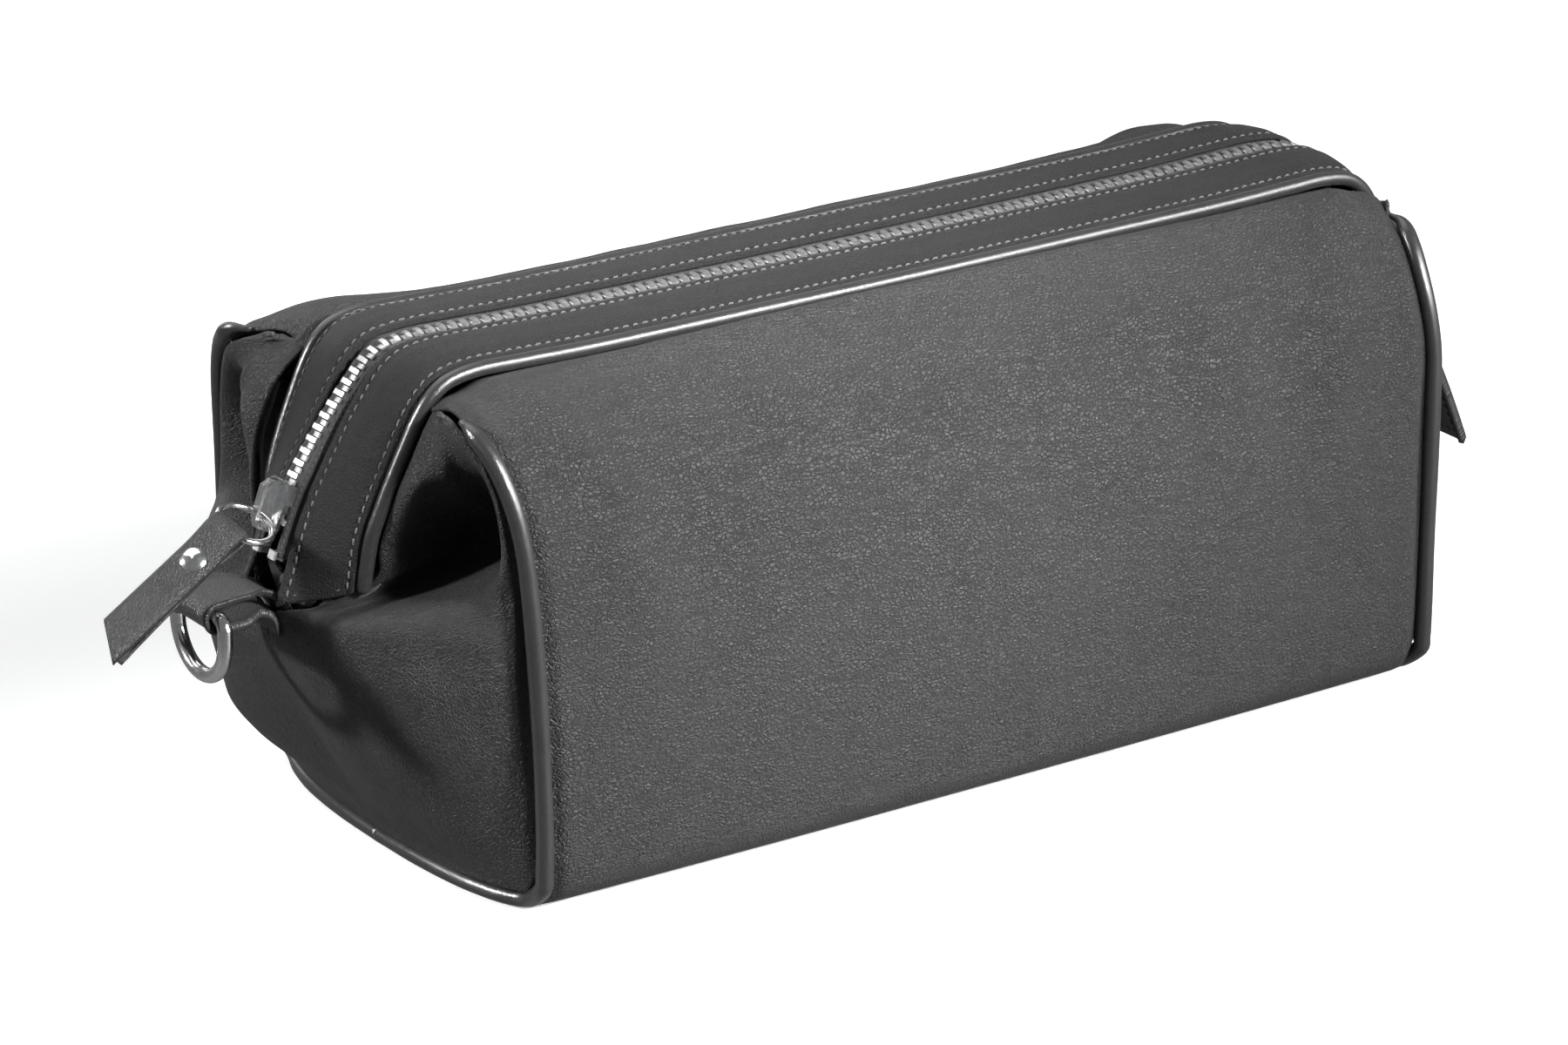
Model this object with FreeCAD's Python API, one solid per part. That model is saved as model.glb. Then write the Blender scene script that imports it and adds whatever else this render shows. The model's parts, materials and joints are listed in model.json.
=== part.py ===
import FreeCAD, Part
import math
import os

os.makedirs("parts", exist_ok=True)
V = FreeCAD.Vector

# Framed wash bag. Millimetres. X along the bag's length, -Y its front, +Z up.
# Origin: centre of the underside, on the floor plane.

# ---- driving dimensions -------------------------------------------------
SEAM_X = 113.0          # end seam to centre, at the floor
HALF_DEPTH = 55.0       # front of the bag at the end seam
LEATHER = 1.2           # outer leather
LINING = 0.7            # lining cloth
PIPE_R = 1.7            # covered piping at the end seams
BAND_PIPE_R = 1.5       # covered piping on the zipper bands
BAND_T = 1.2            # band leather
STRIP_W, STRIP_T = 8.0, 0.9     # steel frame strip
STRIP_DEPTH = 1.35      # under the band's face
FACING_DEPTH, FACING_T = 2.6, 0.7
HINGE_Z = 60.0          # both frames turn about X at this height
PIN_R, EYE_R = 1.5, 1.56
EYE_OUT = 4.2
PITCH = 2.7             # tooth pitch on one tape
TOOTH_T = 1.05
TAPE_T = 0.6
ZIP_DEPTH = 1.65
RING_R, RING_WIRE = 5.8, 0.75
D_WIRE = 1.6
D_BAR = (-161.0, 61.5)  # x, z of the D-ring's bar
STRAP_T = 1.4

# ---- small helpers ------------------------------------------------------


def add(a, b, k=1.0):
    return (a[0] + b[0] * k, a[1] + b[1] * k, a[2] + b[2] * k)


def sub(a, b):
    return (a[0] - b[0], a[1] - b[1], a[2] - b[2])


def mul(a, k):
    return (a[0] * k, a[1] * k, a[2] * k)


def dot(a, b):
    return a[0] * b[0] + a[1] * b[1] + a[2] * b[2]


def cross(a, b):
    return (a[1] * b[2] - a[2] * b[1], a[2] * b[0] - a[0] * b[2], a[0] * b[1] - a[1] * b[0])


def length(a):
    return math.sqrt(dot(a, a))


def unit(a):
    n = length(a)
    return (a[0] / n, a[1] / n, a[2] / n)


def lerp(a, b, t):
    return (a[0] + (b[0] - a[0]) * t, a[1] + (b[1] - a[1]) * t, a[2] + (b[2] - a[2]) * t)


def spline(table, t):
    # Catmull-Rom through the table, t counted in rows
    n = len(table) - 1
    t = min(max(t, 0.0), float(n))
    i = min(int(t), n - 1)
    f = t - i
    p1, p2 = table[i], table[i + 1]
    p0 = table[i - 1] if i > 0 else tuple(2 * a - b for a, b in zip(p1, p2))
    p3 = table[i + 2] if i + 2 <= n else tuple(2 * b - a for a, b in zip(p1, p2))
    out = []
    for a, b, c, d in zip(p0, p1, p2, p3):
        out.append(0.5 * (2 * b + (c - a) * f + (2 * a - 5 * b + 4 * c - d) * f * f + (3 * b - a - 3 * c + d) * f ** 3))
    return tuple(out)


def resample(pts, n):
    # n points evenly spaced along a smooth curve through pts
    dense = [spline(pts, i * (len(pts) - 1) / 400.0) for i in range(401)]
    s = [0.0]
    for a, b in zip(dense, dense[1:]):
        s.append(s[-1] + length(sub(b, a)))
    out, j = [], 0
    for k in range(n):
        want = s[-1] * k / (n - 1)
        while j < 399 and s[j + 1] < want:
            j += 1
        f = (want - s[j]) / max(s[j + 1] - s[j], 1e-9)
        out.append(lerp(dense[j], dense[j + 1], min(max(f, 0.0), 1.0)))
    return out


def smooth(a, b, x):
    t = min(max((x - a) / (b - a), 0.0), 1.0)
    return t * t * (3 - 2 * t)


def my(p):
    return (p[0], -p[1], p[2])


def mx(p):
    return (-p[0], p[1], p[2])


def surface(grid):
    s = Part.BSplineSurface()
    s.interpolate([[V(*p) for p in row] for row in grid])
    return s


def slab(outer, inner):
    # closed solid between two matching grids of points
    so, si = surface(outer), surface(inner)
    faces = [so.toShape(), si.toShape()]
    uo, vo, ui, vi = so.bounds(), None, si.bounds(), None
    u0, u1, v0, v1 = uo
    a0, a1, b0, b1 = ui
    pairs = [
        (so.uIso(u0), si.uIso(a0)),
        (so.uIso(u1), si.uIso(a1)),
        (so.vIso(v0), si.vIso(b0)),
        (so.vIso(v1), si.vIso(b1)),
    ]
    for e, f in pairs:
        faces.append(Part.makeRuledSurface(e.toShape(), f.toShape()))
    shell = Part.makeShell(faces)
    shell.sewShape()
    if shell.ShapeType != "Shell":
        shell = shell.Shells[0]
    solid = Part.makeSolid(shell)
    if solid.Volume < 0:
        solid.reverse()
    if not solid.isValid():
        fixed = solid.copy()
        fixed.fix(1e-4, 1e-5, 1e-3)
        solid = fixed
    return solid


def offset_grid(grid, depth, inside):
    # moves each point by depth along the local normal, towards the point `inside`
    out = []
    nu, nv = len(grid), len(grid[0])
    for i in range(nu):
        row = []
        for j in range(nv):
            du = sub(grid[min(i + 1, nu - 1)][j], grid[max(i - 1, 0)][j])
            dv = sub(grid[i][min(j + 1, nv - 1)], grid[i][max(j - 1, 0)])
            n = unit(cross(du, dv))
            if dot(n, sub(inside, grid[i][j])) < 0:
                n = mul(n, -1)
            row.append(add(grid[i][j], n, depth))
        out.append(row)
    return out


def tube(pts, r, n=None, around=12, closed=False):
    # round bar along a line of points, from two halves with a hair-wide flat between them
    pts = resample(pts, n) if n else pts
    m = len(pts)
    ref = None
    upper, lower = [], []
    for i in range(m):
        t = unit(sub(pts[min(i + 1, m - 1)], pts[max(i - 1, 0)]))
        if ref is None:
            ref = (0.0, 1.0, 0.0) if abs(t[1]) < 0.8 else (0.0, 0.0, 1.0)
        ref = unit(sub(ref, mul(t, dot(ref, t))))
        side = cross(t, ref)
        angles = [math.radians(10 + 160 * j / 8.0) for j in range(9)]
        upper.append([add(add(pts[i], ref, r * math.cos(a)), side, r * math.sin(a)) for a in angles])
        lower.append([add(add(pts[i], ref, r * math.cos(a)), side, -r * math.sin(a)) for a in angles])
    return slab(upper, lower)


def mirror_y(shape):
    return shape.mirror(V(0, 0, 0), V(0, 1, 0))


def mirror_x(shape):
    return shape.mirror(V(0, 0, 0), V(1, 0, 0))


def place(shape, origin, ex, ey, ez):
    m = FreeCAD.Matrix(ex[0], ey[0], ez[0], origin[0], ex[1], ey[1], ez[1], origin[1], ex[2], ey[2], ez[2], origin[2], 0, 0, 0, 1)
    return shape.transformGeometry(m) if False else shape.transformed(m)


def prism(poly, z0, z1):
    w = Part.makePolygon([V(x, y, z0) for x, y in poly] + [V(poly[0][0], poly[0][1], z0)])
    return Part.Face(w).extrude(V(0, 0, z1 - z0))


def save(name, shape):
    solids = shape.Solids
    bad = [s for s in solids if not s.isValid() or s.Volume <= 0]
    pts = shape.tessellate(0.2)[0]
    print("%-22s solids %3d bad %d vol %9.1f  x %.1f %.1f y %.1f %.1f z %.2f %.2f" % (
        name, len(solids), len(bad), shape.Volume, min(p.x for p in pts), max(p.x for p in pts), min(p.y for p in pts),
        max(p.y for p in pts), min(p.z for p in pts), max(p.z for p in pts)))
    vs, fs = shape.tessellate(0.2)
    vol = sum(vs[a].dot(vs[b].cross(vs[c])) for a, b, c in fs) / 6.0
    if abs(abs(vol) - shape.Volume) > 0.02 * shape.Volume:
        print("   meshed volume differs:", name, vol, shape.Volume)
    shape.exportStep("parts/%s.step" % name)


# ---- the bag's lines ----------------------------------------------------
# front band: inner (zipper) edge and piping line, left tip to mid-length
BAND_IN = [
    (-147.8, -6.6, 61.4), (-145.2, -6.0, 67.5), (-142.2, -5.3, 75.0), (-138.8, -4.7, 82.0),
    (-134.6, -4.4, 89.0), (-130.2, -4.2, 96.0), (-126.0, -4.2, 102.0), (-121.6, -4.2, 107.2),
    (-116.5, -4.2, 110.0), (-108.0, -4.2, 110.8), (-98.0, -4.2, 110.6), (-78.0, -4.2, 110.0), (-40.0, -4.2, 109.7)]
BAND_OUT = [
    (-134.4, -19.0, 65.2), (-134.0, -19.6, 70.5), (-133.2, -20.3, 77.0), (-131.3, -20.9, 83.0),
    (-128.6, -21.3, 89.5), (-125.8, -21.6, 95.5), (-123.2, -21.8, 100.6), (-120.0, -22.0, 105.0),
    (-115.5, -22.0, 108.0), (-108.5, -22.0, 109.2), (-98.0, -22.0, 109.0), (-78.0, -22.0, 108.5), (-40.0, -22.0, 108.3)]
BAND_IN = BAND_IN + [(0.0, -4.2, 109.6)] + [mx(p) for p in reversed(BAND_IN)]
BAND_OUT = BAND_OUT + [(0.0, -22.0, 108.2)] + [mx(p) for p in reversed(BAND_OUT)]
LAST = float(len(BAND_IN) - 1)


def band(u, w, depth=0.0):
    # point on the front band, u in rows from the left tip, w 0 at the zipper and 1 at the piping line
    def flat(u, w):
        a, b = spline(BAND_IN, u), spline(BAND_OUT, u)
        return lerp(a, b, w)
    p = flat(u, w)
    e = 0.02
    u0, u1 = max(u - e, 0.0), min(u + e, LAST)
    n = unit(cross(sub(flat(u1, w), flat(u0, w)), sub(flat(u, w + 0.05), flat(u, w - 0.05))))
    if dot(n, sub(p, (0.0, 0.0, 60.0))) < 0:
        n = mul(n, -1)
    bow = 0.5 * math.sin(math.pi * min(max(w, 0.0), 1.0))
    return add(p, n, bow - depth), n


def u_rows(n, a=0.0, b=None):
    b = LAST if b is None else b
    return [a + (b - a) * i / (n - 1) for i in range(n)]


def even_rows(n, a=0.0, b=None):
    # rows evenly spaced along the middle of the band
    b = LAST if b is None else b
    us = [a + (b - a) * i / 1200.0 for i in range(1201)]
    ps = [band(u, 0.5)[0] for u in us]
    s = [0.0]
    for p, q in zip(ps, ps[1:]):
        s.append(s[-1] + length(sub(q, p)))
    out, j = [], 0
    for k in range(n):
        want = s[-1] * k / (n - 1)
        while j < 1199 and s[j + 1] < want:
            j += 1
        f = min(max((want - s[j]) / max(s[j + 1] - s[j], 1e-9), 0.0), 1.0)
        out.append(us[j] + (us[j + 1] - us[j]) * f)
    return out


W_EDGE = 0.895          # where the band leather stops short of its piping


def band_slab(d0, d1, w0, w1, rows, cols=5):
    def grid(d):
        return [[band(u, w0 + (w1 - w0) * j / (cols - 1), d)[0] for j in range(cols)] for u in rows]
    return slab(grid(d0), grid(d1))


# end-seam profile (outer face of the front panel where it meets the left end), floor to top
END_PROFILE = [
    (-113.0, -34.0, 0.45), (-113.0, -43.5, 0.5), (-113.0, -50.0, 2.2), (-113.0, -54.0, 7.0), (-113.0, -55.0, 14.0),
    (-113.0, -55.0, 26.0), (-113.4, -54.8, 40.0), (-113.8, -54.4, 54.0), (-114.4, -53.8, 66.0), (-115.0, -53.0, 77.0),
    (-116.0, -51.6, 86.0), (-117.2, -48.8, 94.0), (-118.6, -44.6, 100.0), (-119.8, -39.2, 104.0), (-120.6, -32.6, 105.9),
    (-120.9, -25.6, 105.6)]
MID_PROFILE = [
    (0.0, -34.0, 0.45), (0.0, -44.5, 0.55), (0.0, -52.0, 2.7), (0.0, -56.6, 7.5), (0.0, -57.8, 15.0),
    (0.0, -57.8, 28.0), (0.0, -57.0, 42.0), (0.0, -55.8, 55.0), (0.0, -54.0, 67.0), (0.0, -51.2, 78.0),
    (0.0, -47.4, 87.0), (0.0, -42.6, 94.5), (0.0, -37.2, 100.0), (0.0, -31.8, 103.8), (0.0, -27.2, 106.2),
    (0.0, -24.6, 107.0)]
PN = len(END_PROFILE) - 1


def panel(x01, k, inset=0.0):
    # outer face of the front panel; x01 from -1 (left seam) to 1, k in profile rows
    e, m = spline(END_PROFILE, k), spline(MID_PROFILE, k)
    b = 1.0 - abs(x01) ** 2.6
    top = smooth(PN - 3.0, PN, k)
    # the top edge follows the band's piping line
    y = e[1] + (m[1] - e[1]) * b
    z = e[2] + (m[2] - e[2]) * b
    x = x01 * (-e[0] - inset)
    if top > 0:
        zline = 108.2 + 0.9 * smooth(70.0, 104.0, abs(x)) - 2.9 * smooth(108.0, 121.0, abs(x))
        z = z + (zline - 1.15 - z) * top * 0.9 * smooth(0.0, 0.25, b)
    return (x, y, z)


def panel_grid(depth, k0, k1, nk, nx, inset):
    xs = [-math.cos(math.pi * i / (nx - 1)) for i in range(nx)]
    xs = [0.35 * x + 0.65 * (-1 + 2 * i / (nx - 1)) for i, x in enumerate(xs)]
    grid = [[panel(x, k0 + (k1 - k0) * j / (nk - 1), inset) for j in range(nk)] for x in xs]
    if depth:
        grid = offset_grid(grid, depth, (0.0, 0.0, 55.0))
    return grid


def seam_frame(k):
    # point on the left end seam with the inward normal of the profile
    p = spline(END_PROFILE, k)
    a, b = spline(END_PROFILE, max(k - 0.05, 0)), spline(END_PROFILE, min(k + 0.05, PN))
    t = unit((0.0, b[1] - a[1], b[2] - a[2]))
    n = (0.0, t[2], -t[1])
    if dot(n, (0.0, 0.0 - p[1], 55.0 - p[2])) < 0:
        n = mul(n, -1)
    return p, n


def seam_offset(k, dx, dn):
    p, n = seam_frame(k)
    return add(add(p, (dx, 0.0, 0.0)), n, dn)


# underside outline of the left end: x of the bottom edge for each y
BOTTOM_EDGE = [(-113.6, -46.6, 2.7), (-116.2, -39.0, 1.85), (-118.5, -29.0, 1.75), (-119.9, -15.0, 1.75), (-120.3, 0.0, 1.75)]

# ---- panels -------------------------------------------------------------
TOP_K = PN - 0.0
front = slab(panel_grid(0.0, 0.0, TOP_K, 31, 21, -0.1 + 0.9), panel_grid(LEATHER, 0.0, TOP_K, 31, 21, -0.1 + 0.9))
save("front_panel", front)
save("rear_panel", mirror_y(front))

pts = [(-112.2, -32.0), (-114.9, -26.0), (-116.6, -15.0), (-117.2, 0.0)]
left = resample([(x, y, 0.0) for x, y in pts] + [(x, -y, 0.0) for x, y in reversed(pts[:-1])], 25)
outline = [V(*p) for p in left]
c1 = Part.BSplineCurve()
c1.interpolate(outline)
c2 = Part.BSplineCurve()
c2.interpolate([V(-p.x, p.y, 0) for p in reversed(outline)])
e1, e2 = c1.toShape(), c2.toShape()
w = Part.Wire([e1, Part.makeLine(outline[-1], V(-outline[-1].x, outline[-1].y, 0)), e2, Part.makeLine(V(-outline[0].x, outline[0].y, 0), outline[0])])
bottom = Part.Face(w).extrude(V(0, 0, 1.4))
save("bottom_panel", bottom)

# stiffening board and floor lining, loose on top of the bottom panel
board = Part.makeBox(212, 76, 1.1, V(-106, -38, 2.4))
board = board.makeFillet(8.0, [e for e in board.Edges if abs(e.tangentAt(e.FirstParameter).z) > 0.9])
save("base_board", board)
floor_lining = Part.makeBox(214, 88, 0.7, V(-107, -44, 3.55))
floor_lining = floor_lining.makeFillet(9.0, [e for e in floor_lining.Edges if abs(e.tangentAt(e.FirstParameter).z) > 0.9])
save("bottom_lining", floor_lining)

# ---- end piping ---------------------------------------------------------
up = [seam_offset(k, -1.1, 1.2) for k in [3.0, 3.6, 4.5, 5.5, 6.5, 7.5, 8.5, 9.5, 10.5, 11.5, 12.3, 13.0]]
up = up + [add(seam_offset(13.5, -0.4, 2.0), (0.6, 0, -0.3))]
run = list(reversed(up)) + BOTTOM_EDGE + [my(p) for p in reversed(BOTTOM_EDGE[:-1])] + [my(p) for p in up]
left_pipe = tube(run, PIPE_R, 90)
save("left_end_piping", left_pipe)
save("right_end_piping", mirror_x(left_pipe))

# ---- gussets ------------------------------------------------------------
G_SEAM = [(-114.7, -48.0, 4.6)] + [seam_offset(k, -2.0, 3.3) for k in [3.6, 4.6, 5.5, 6.5, 7.5, 8.5, 9.5, 10.5, 11.5, 12.5, 13.5, 14.4]]


def wing(u):
    # where the gusset meets the band's piping on the left leg
    p, n = band(u, 1.0)
    a, b = spline(BAND_IN, u), spline(BAND_OUT, u)
    w = unit(sub(b, a))
    return add(add(p, n, -1.8), w, 2.15)


G_CENTRE = [(-121.3, 0.0, 3.7), (-125.6, 0.0, 12.0), (-131.2, 0.0, 22.0), (-136.2, 0.0, 32.0), (-140.2, 0.0, 42.0),
            (-142.3, 0.0, 51.0), (-142.2, -3.4, 54.2), (-140.2, -8.6, 56.6), (-136.6, -14.6, 59.4)] + [wing(u) for u in [0.35, 1.6, 3.0, 4.4, 5.6, 6.5, 7.0]]
G_BOTTOM = [(-114.7, -48.0, 4.6), (-117.0, -40.0, 3.9), (-119.6, -29.0, 3.75), (-120.9, -15.0, 3.7), (-121.3, 0.0, 3.7)]
NT, NS = 33, 15


def gusset_grid():
    # seam and centre lines are matched by height where the bag is one piece wide
    S = resample(G_SEAM, NT)
    C = resample(G_CENTRE, NT)
    # slide the seam stations so that rows stay level-ish
    zs = [p[2] for p in S]
    rows = []
    top_s, top_c = S[-1], C[-1]
    dense = resample(G_SEAM, 400)
    order = []
    for i in range(NT):
        t = i / (NT - 1.0)
        if i == 0:
            order.append(0.0)
        else:
            order.append(t)
    B = resample(G_BOTTOM, NS)
    T = [lerp(top_s, top_c, j / (NS - 1.0)) for j in range(NS)]
    for i in range(NT):
        t = i / (NT - 1.0)
        row = []
        for j in range(NS):
            s = j / (NS - 1.0)
            a = lerp(S[i], C[i], s)
            b = lerp(B[j], T[j], t)
            c = lerp(lerp(S[0], C[0], s), lerp(S[-1], C[-1], s), t)
            p = (a[0] + b[0] - c[0], a[1] + b[1] - c[1], a[2] + b[2] - c[2])
            fat = 5.0 * math.sin(math.pi * s * 0.5 + 0.0) * math.sin(math.pi * min(s, 1.0)) ** 0.5 if 0 < s < 1 else 0.0
            low = smooth(0.0, 0.16, t) * (1 - smooth(0.44, 0.62, t))
            dent = 15.0 * math.exp(-((s - 0.52) / 0.24) ** 2) * math.exp(-((t - 0.72) / 0.135) ** 2)
            dent = dent * math.sin(math.pi * s) ** 0.6 if 0 < s < 1 else 0.0
            bulge = 1.0 * fat * low
            nrm = (-0.95, -0.31 * (1 - s), 0.0)
            p = add(p, nrm, bulge)
            p = add(p, (0.9, 0.35, -0.1), dent)
            row.append(p)
        rows.append(row)
    return rows


G_IN = (0.0, 0.0, 50.0)
g_outer = gusset_grid()
g_inner = offset_grid(g_outer, LEATHER, G_IN)
for row in g_inner:      # the two halves share the middle plane
    pass
n_split = None


def split_gusset(outer, inner):
    half = slab(outer, inner)
    return half


g_half = split_gusset(g_outer, g_inner)
keep = Part.makeBox(200, 100, 200, V(-200, -100, -20))
cut = g_half.common(keep)
print("gusset half", g_half.isValid(), g_half.Volume, "cut", cut.isValid(), cut.Volume, len(cut.Solids))
left_g = Part.makeCompound([cut, mirror_y(cut)])
save("left_gusset", left_g)
save("right_gusset", mirror_x(left_g))

# ---- bands --------------------------------------------------------------
rows = even_rows(111)
band_leather = band_slab(0.0, BAND_T, 0.0, W_EDGE, rows)
save("front_band", band_leather)
save("rear_band", mirror_y(band_leather))

pipe_pts = [band(u, 1.0, 1.1)[0] for u in even_rows(111, 0.6, LAST - 0.6)]
pipe = tube(pipe_pts, BAND_PIPE_R)
save("front_band_piping", pipe)
save("rear_band_piping", mirror_y(pipe))

facing = band_slab(FACING_DEPTH, FACING_DEPTH + FACING_T, 0.19, 0.86, even_rows(101, 1.7, LAST - 1.7))
save("front_band_facing", facing)
save("rear_band_facing", mirror_y(facing))

# steel strip: two legs that end in eyes on the hinge pins
def strip_half_width(u):
    return STRIP_W / 2.0


STRIP_U0 = 1.0


def strip_row(u, depth):
    wl = length(sub(spline(BAND_OUT, u), spline(BAND_IN, u)))
    return [band(u, 0.56 + (j - 1) * STRIP_W / 2.0 / wl, depth)[0] for j in range(3)]


def strip_grid(depth, n, a, b):
    return [strip_row(u, depth) for u in even_rows(n, a, b)]


def foot(xe, sx):
    # plate that turns the end of a leg square to the pin, built from flat facets
    def flip(p):
        return (p[0] if sx < 0 else -p[0], p[1], p[2])
    o, i = strip_row(STRIP_U0 - 0.02, STRIP_DEPTH), strip_row(STRIP_U0 - 0.02, STRIP_DEPTH + STRIP_T)
    a = [o[0], o[2], i[2], i[0]]
    b = [(-xe, -5.27, 63.1), (-xe, -5.27, 56.9), (-xe + STRIP_T, -5.27, 56.9), (-xe + STRIP_T, -5.27, 63.1)]
    a, b = [V(*flip(p)) for p in a], [V(*flip(p)) for p in b]
    tris = [(a[0], a[1], a[2]), (a[0], a[2], a[3]), (b[0], b[1], b[2]), (b[0], b[2], b[3])]
    for k in range(4):
        m = (k + 1) % 4
        tris += [(a[k], a[m], b[m]), (a[k], b[m], b[k])]
    shell = Part.makeShell([Part.Face(Part.makePolygon([x, y, z, x])) for x, y, z in tris])
    shell.sewShape()
    f = Part.makeSolid(shell if shell.ShapeType == "Shell" else shell.Shells[0])
    if f.Volume < 0:
        f.reverse()
    return f


def eye(xe, sx):
    # end plate of a leg: a flat with a round eye, square to the pin
    d = Part.makeCylinder(EYE_OUT, STRIP_T, V(-xe, 0, HINGE_Z), V(1, 0, 0))
    r = Part.makeBox(STRIP_T, 5.25, 6.2, V(-xe, -5.25, 56.9))
    h = Part.makeCylinder(EYE_R, 30, V(-155, 0, HINGE_Z), V(1, 0, 0))
    e = d.fuse(r).removeSplitter().cut(h)
    return e if sx < 0 else mirror_x(e)


def strip(xe):
    spans = [(31, STRIP_U0, 6.0), (17, 6.0, 10.5), (15, 10.5, LAST - 10.5), (17, LAST - 10.5, LAST - 6.0), (31, LAST - 6.0, LAST - STRIP_U0)]
    legs = [slab(strip_grid(STRIP_DEPTH, *q), strip_grid(STRIP_DEPTH + STRIP_T, *q)) for q in spans]
    feet = [foot(xe, -1), foot(xe, 1)]
    print("strip", [f.Volume for f in legs + feet], [f.isValid() for f in legs + feet])
    return Part.makeCompound(legs + [eye(xe, -1), eye(xe, 1)] + feet)


save("front_frame_strip", strip(140.6))
save("rear_frame_strip", mirror_y(strip(139.6)))

# hinge rivets and the tabs that hold them to the end panels
def pin():
    s = Part.makeCylinder(PIN_R, 5.4, V(-141.5, 0, HINGE_Z), V(1, 0, 0))
    h1 = Part.makeCylinder(2.7, 0.7, V(-141.4, 0, HINGE_Z), V(1, 0, 0))
    h2 = Part.makeCylinder(2.7, 0.8, V(-136.9, 0, HINGE_Z), V(1, 0, 0))
    return s.fuse([h1, h2]).removeSplitter()


p = pin()
save("left_hinge_pin", p)
save("right_hinge_pin", mirror_x(p))
tab = Part.makeBox(1.0, 7.0, 18.9, V(-138.4, -3.5, 43.9))
tab = tab.cut(Part.makeCylinder(PIN_R + 0.02, 4, V(-140, 0, HINGE_Z), V(1, 0, 0)))
save("left_hinge_tab", tab)
save("right_hinge_tab", mirror_x(tab))


# ---- zipper -------------------------------------------------------------


def zip_depth(u):
    # the chain lies just under the leather along the top and stands level with it on the legs
    i = min(u, LAST - u)
    return ZIP_DEPTH - 2.4 * (1 - smooth(3.0, 8.0, i))


def chain(u, y=0.0, dn=0.0):
    # point on the chain line at y, dn outwards; also its outward normal and its direction
    p = spline(BAND_IN, u)
    e = 0.02
    a, b = spline(BAND_IN, max(u - e, 0)), spline(BAND_IN, min(u + e, LAST))
    t = unit((b[0] - a[0], 0.0, b[2] - a[2]))
    n = (-t[2], 0.0, t[0])
    q = add((p[0], y, p[2]), n, dn - zip_depth(u))
    return q, n, t


def even_points(corners, n):
    # n points evenly spaced along straight runs between the corners
    s = [0.0]
    for a, b in zip(corners, corners[1:]):
        s.append(s[-1] + length(sub(b, a)))
    out, j = [], 0
    for i in range(n):
        want = s[-1] * i / (n - 1)
        while j < len(corners) - 2 and s[j + 1] < want:
            j += 1
        out.append(lerp(corners[j], corners[j + 1], min(max((want - s[j]) / max(s[j + 1] - s[j], 1e-9), 0.0), 1.0)))
    return out


def tape_grid(side):
    # side +1 outer face, -1 inner face; the tape drops under the band's edge before it reaches it
    out = []
    us = even_rows(131, 1.35, LAST - 1.35)
    for u in us:
        h = side * TAPE_T / 2.0
        z = chain(u)[0][2]
        away = 2.0 * (1 - smooth(76.0, 81.5, z)) if u < LAST / 2.0 else 0.0
        q0 = chain(u, -1.05 - away, h)[0]
        p1 = band(u, -0.012, 1.72 - h)[0]
        level = 1.4 * (1 - smooth(84.0, 92.0, z)) if u < LAST / 2.0 else 0.0
        q1 = chain(u, -min(2.7 + level, -band(u, 0.0, 1.72)[0][1] - 0.65), h)[0]
        p2 = band(u, 0.12, 1.84 - h)[0]
        p3 = band(u, 0.25, 1.84 - h)[0]
        out.append(even_points([q0, q1, p1, p2, p3], 12))
    return out


t_out, t_in = tape_grid(1), tape_grid(-1)
tape = Part.makeCompound([slab(t_out[a:b], t_in[a:b]) for a, b in ((0, 24), (23, 51), (50, 81), (80, 108), (107, 131))])
save("front_zipper_tape", tape)
save("rear_zipper_tape", mirror_y(tape))

TOOTH = [(-1.8, -1.1), (-0.4, -1.1), (0.9, -0.55), (0.9, 0.55), (-0.4, 1.1), (-1.8, 1.1), (-1.8, 0.66), (-0.6, 0.66), (-0.6, -0.66), (-1.8, -0.66)]


def arc_table():
    # arc length along the chain
    us = [LAST * i / 2000.0 for i in range(2001)]
    ps = [chain(u)[0] for u in us]
    s = [0.0]
    for a, b in zip(ps, ps[1:]):
        s.append(s[-1] + length(sub(b, a)))
    return us, s


ARC_U, ARC_S = arc_table()


def u_at(s):
    lo, hi = 0, len(ARC_S) - 1
    while hi - lo > 1:
        m = (lo + hi) // 2
        if ARC_S[m] < s:
            lo = m
        else:
            hi = m
    f = (s - ARC_S[lo]) / max(ARC_S[hi] - ARC_S[lo], 1e-9)
    return ARC_U[lo] + (ARC_U[hi] - ARC_U[lo]) * f


def s_at_z(z):
    for u, s in zip(ARC_U, ARC_S):
        if chain(u)[0][2] >= z:
            return s


S_FIRST = s_at_z(76.5)
S_LAST = ARC_S[-1] - s_at_z(76.4)
SPLIT_S0, SPLIT_S1 = s_at_z(76.0), s_at_z(81.5)


def split(s):
    # how far each row stands off the middle where the slider's wedge parts it
    return 2.0 * (1 - smooth(SPLIT_S0, SPLIT_S1, s))


def teeth(phase, sy):
    out = []
    s = S_FIRST + phase
    while s <= S_LAST:
        u = u_at(s)
        q, n, t = chain(u)
        f = Part.Face(Part.makePolygon([V(0, y, z) for y, z in TOOTH] + [V(0, TOOTH[0][0], TOOTH[0][1])]))
        b = f.extrude(V(TOOTH_T, 0, 0))
        b.translate(V(-TOOTH_T / 2, -split(s), 0))
        # the tape's edge is where the tooth grips it, so the row keeps to its own side
        b = place(b, q, t, (0.0, 1.0, 0.0), n)
        out.append(b)
        s += PITCH
    c = Part.makeCompound(out)
    return c if sy < 0 else mirror_y(c)


front_teeth = teeth(0.0, -1)
rear_teeth = teeth(PITCH / 2.0, 1)
save("front_zipper_teeth", front_teeth)
save("rear_zipper_teeth", rear_teeth)

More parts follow.
